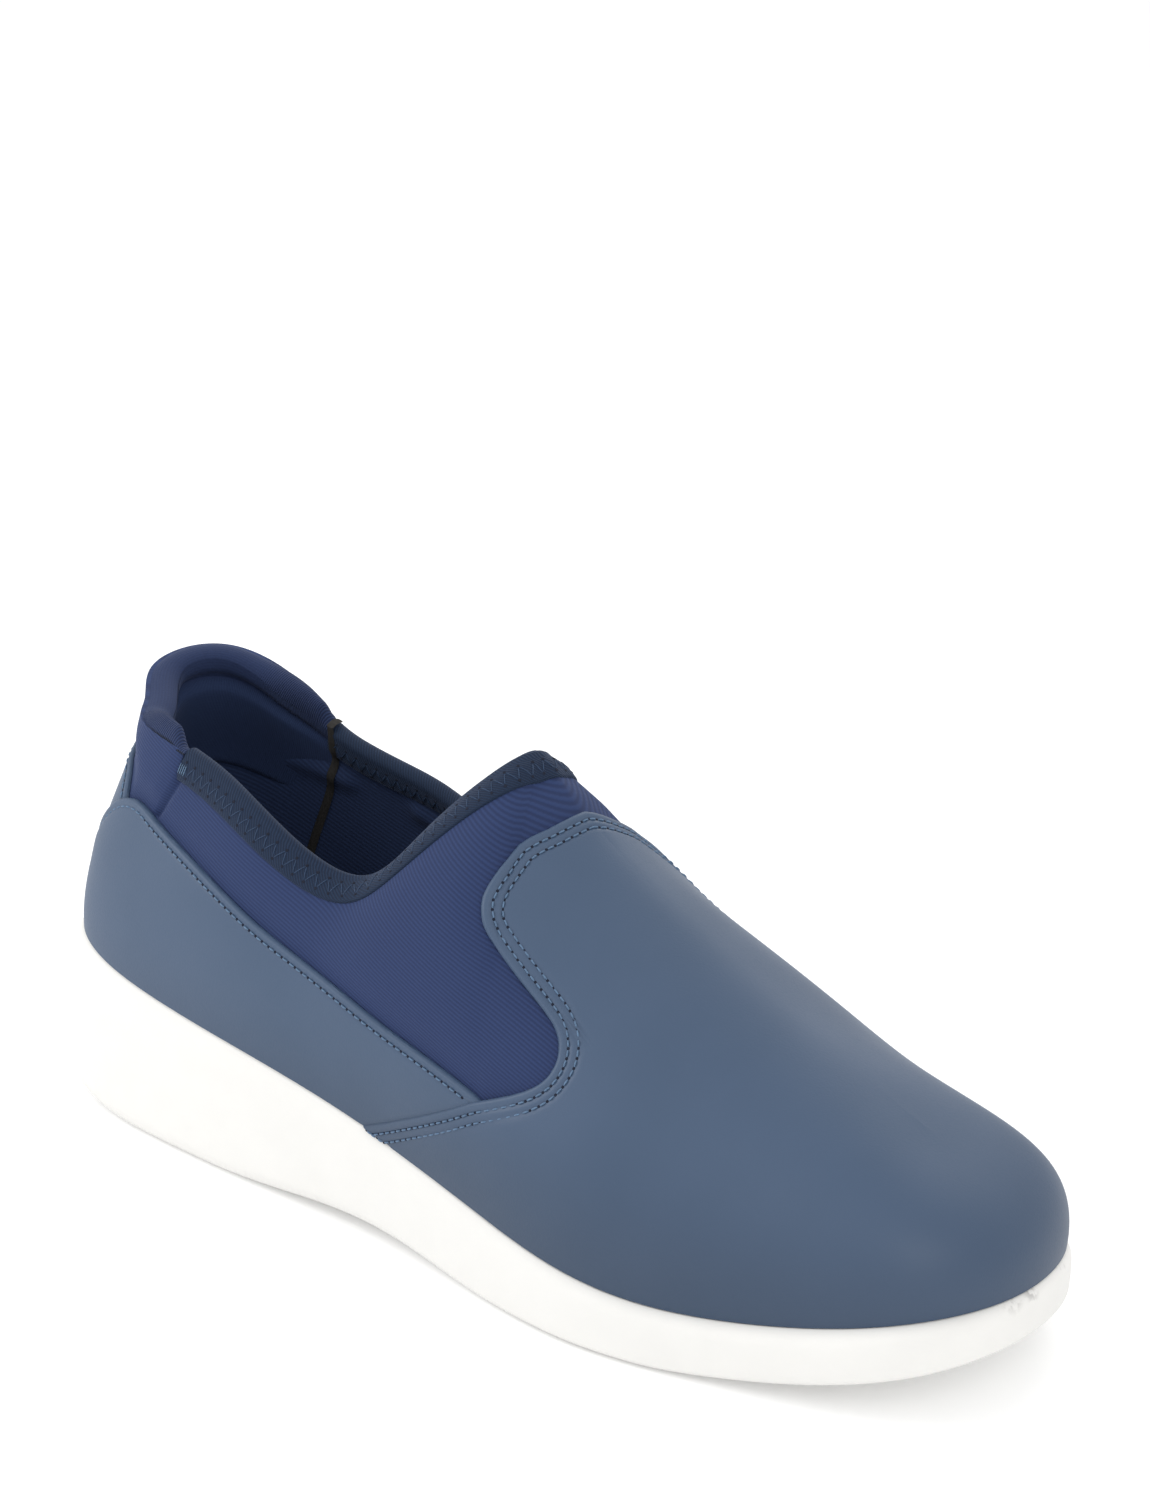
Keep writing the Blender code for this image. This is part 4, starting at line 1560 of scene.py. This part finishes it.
# %% Seam tapes
TAPE_WIDE = 2.4 * MM
TAPE_THICK = 0.7 * MM
TAPE_RISE = 2.2 * MM
TAPE_TURN = 8
TAPE_ROWS = 60
TAPE_SIDES = 8


def draw_tapes():
    points, faces = [], []
    for side in (1, -1):
        over = TAPE_TURN if side < 0 else 0
        v = np.concatenate([np.linspace(0.16, 1.0, TAPE_ROWS), np.ones(over)])
        turn = np.concatenate([np.zeros(TAPE_ROWS), np.linspace(0, 1, over + 1)[1:]])
        count = len(v)
        line = wall(np.full(count, side * (EAR_SEAM + 0.0005)), v)
        spots, outs = onto(line)
        run = along(line[:TAPE_ROWS])
        run = np.vstack([run, np.repeat(run[-1:], over, 0)])
        across = np.cross(outs, run)
        base = sum(len(p) for p in points)
        rise = np.zeros((count, 3))
        if over:
            rise[:, 2] = TAPE_RISE * ease(v, 0.95, 1.0) + 0.4 * MM * np.sin(3 * turn)
        deep = UPPER_WALL + 0.30 * MM + fold_lift(spots) + 1.1 * MM * ease(v, 0.82, 0.90)
        deep = deep * (1 - turn) + 0.3 * MM * turn
        for a in np.linspace(0, 2 * math.pi, TAPE_SIDES, endpoint=False):
            lift = (TAPE_THICK / 2 * math.sin(a) - deep)[:, None]
            points.append(spots + rise + across * (TAPE_WIDE / 2 * math.cos(a)) + outs * lift)
        faces.append(tube_faces(TAPE_SIDES, count) + base)
        for end, flip in ((0, 1), (count - 1, -1)):
            ring = [base + k * count + end for k in range(TAPE_SIDES)][::flip]
            faces.append(np.array([ring[0:4], [ring[0], ring[3], ring[4], ring[7]],
                                   ring[4:8]]))
    return np.vstack(points), np.vstack(faces)


trim("side_seam_tapes", draw_tapes(), TAPE)

# %% [markdown]
# The shoe stands on a pale floor in soft studio light. White surroundings give the soft
# sheen along the ridge. Two large soft lamps come from the upper left and from the front, so
# the toe end and the side turn a shade darker.

# %% Floor and light
def draw_floor(size=3.0, lines=9):
    at = np.linspace(-size, size, lines)
    x, y = np.meshgrid(at, at)
    points = np.column_stack([x.ravel(), y.ravel(), np.full(lines * lines, -0.3 * MM)])
    f = Finish("pale_floor", Roughness=0.9, Specular_IOR_Level=0.1, Emission_Strength=0.15,
               Emission_Color=tone(1.0, 1.0, 1.0))
    f.paint(f.blend(f.noise(0.4, 1.0), tone(0.90, 0.90, 0.90), tone(0.92, 0.92, 0.92)))
    return make("studio_floor", points, grid_faces(lines, lines), [f.material])


draw_floor()

LAMP_AIM = Vector((0, 0, 0.04))
LAMPS = (
    ("key_light", (-1.00, -0.75, 0.80), 0.9, 6.8),
    ("front_light", (0.9, -0.6, 0.8), 0.8, 2.8),
    ("back_light", (-0.35, 0.9, 0.8), 0.8, 2.8),
)


def lamp(name, spot, size, power):
    light = bpy.data.lights.new(name, "AREA")
    light.shape = "DISK"
    light.size = size
    light.energy = power
    thing = bpy.data.objects.new(name, light)
    aim = LAMP_AIM - Vector(spot)
    turn = aim.to_track_quat("-Z", "Y").to_matrix().to_4x4()
    thing.matrix_world = Matrix.Translation(spot) @ turn
    bpy.context.scene.collection.objects.link(thing)


for row in LAMPS:
    lamp(*row)

world = bpy.data.worlds.new("white_room")
world.use_nodes = True
world.node_tree.nodes["Background"].inputs["Color"].default_value = tone(1.0, 1.0, 1.0)
world.node_tree.nodes["Background"].inputs["Strength"].default_value = 0.92
bpy.context.scene.world = world
bpy.context.scene.view_settings.view_transform = "Standard"
print("lamps", len(LAMPS))

# %% [markdown]
# The camera stands where the fit of the outline put it: in front of the outer side, turned
# toward the toe, well above the floor and rolled a little. The long lens keeps the shoe
# almost free of perspective. The shift places it low in the frame, as in the photograph.

# %% Camera
AZIMUTH, ELEVATION, ROLL = (math.radians(angle) for angle in (39.40, 23.14, 2.42))
DISTANCE = 0.90
AIM = Vector((0.130, 0.0, 0.045)) + Vector(SHIFT.tolist())
SCALE = 4489.6
FRAME_WIDE, FRAME_HIGH = 1150, 1500
AIM_PIXEL = (547.5, 1022.5)

back = Vector((math.sin(AZIMUTH) * math.cos(ELEVATION),
               -math.cos(AZIMUTH) * math.cos(ELEVATION), math.sin(ELEVATION)))
right = Vector((math.cos(AZIMUTH), math.sin(AZIMUTH), 0))
upward = back.cross(right)
turned_right = right * math.cos(ROLL) + upward * math.sin(ROLL)
turned_up = upward * math.cos(ROLL) - right * math.sin(ROLL)
camera = bpy.data.cameras.new("camera")
camera.sensor_width = 36
camera.lens = SCALE * DISTANCE / FRAME_HIGH * camera.sensor_width
camera.shift_x = (FRAME_WIDE / 2 - AIM_PIXEL[0]) / FRAME_HIGH
camera.shift_y = (AIM_PIXEL[1] - FRAME_HIGH / 2) / FRAME_HIGH
camera.clip_start = 0.01
viewer = bpy.data.objects.new("camera", camera)
spot = AIM + back * DISTANCE
viewer.matrix_world = Matrix.Translation(spot) @ Matrix(
    (turned_right, turned_up, back)).transposed().to_4x4()
bpy.context.scene.collection.objects.link(viewer)
bpy.context.scene.camera = viewer
print("lens", round(camera.lens, 2))

# %% Update the view layer
bpy.context.view_layer.update()
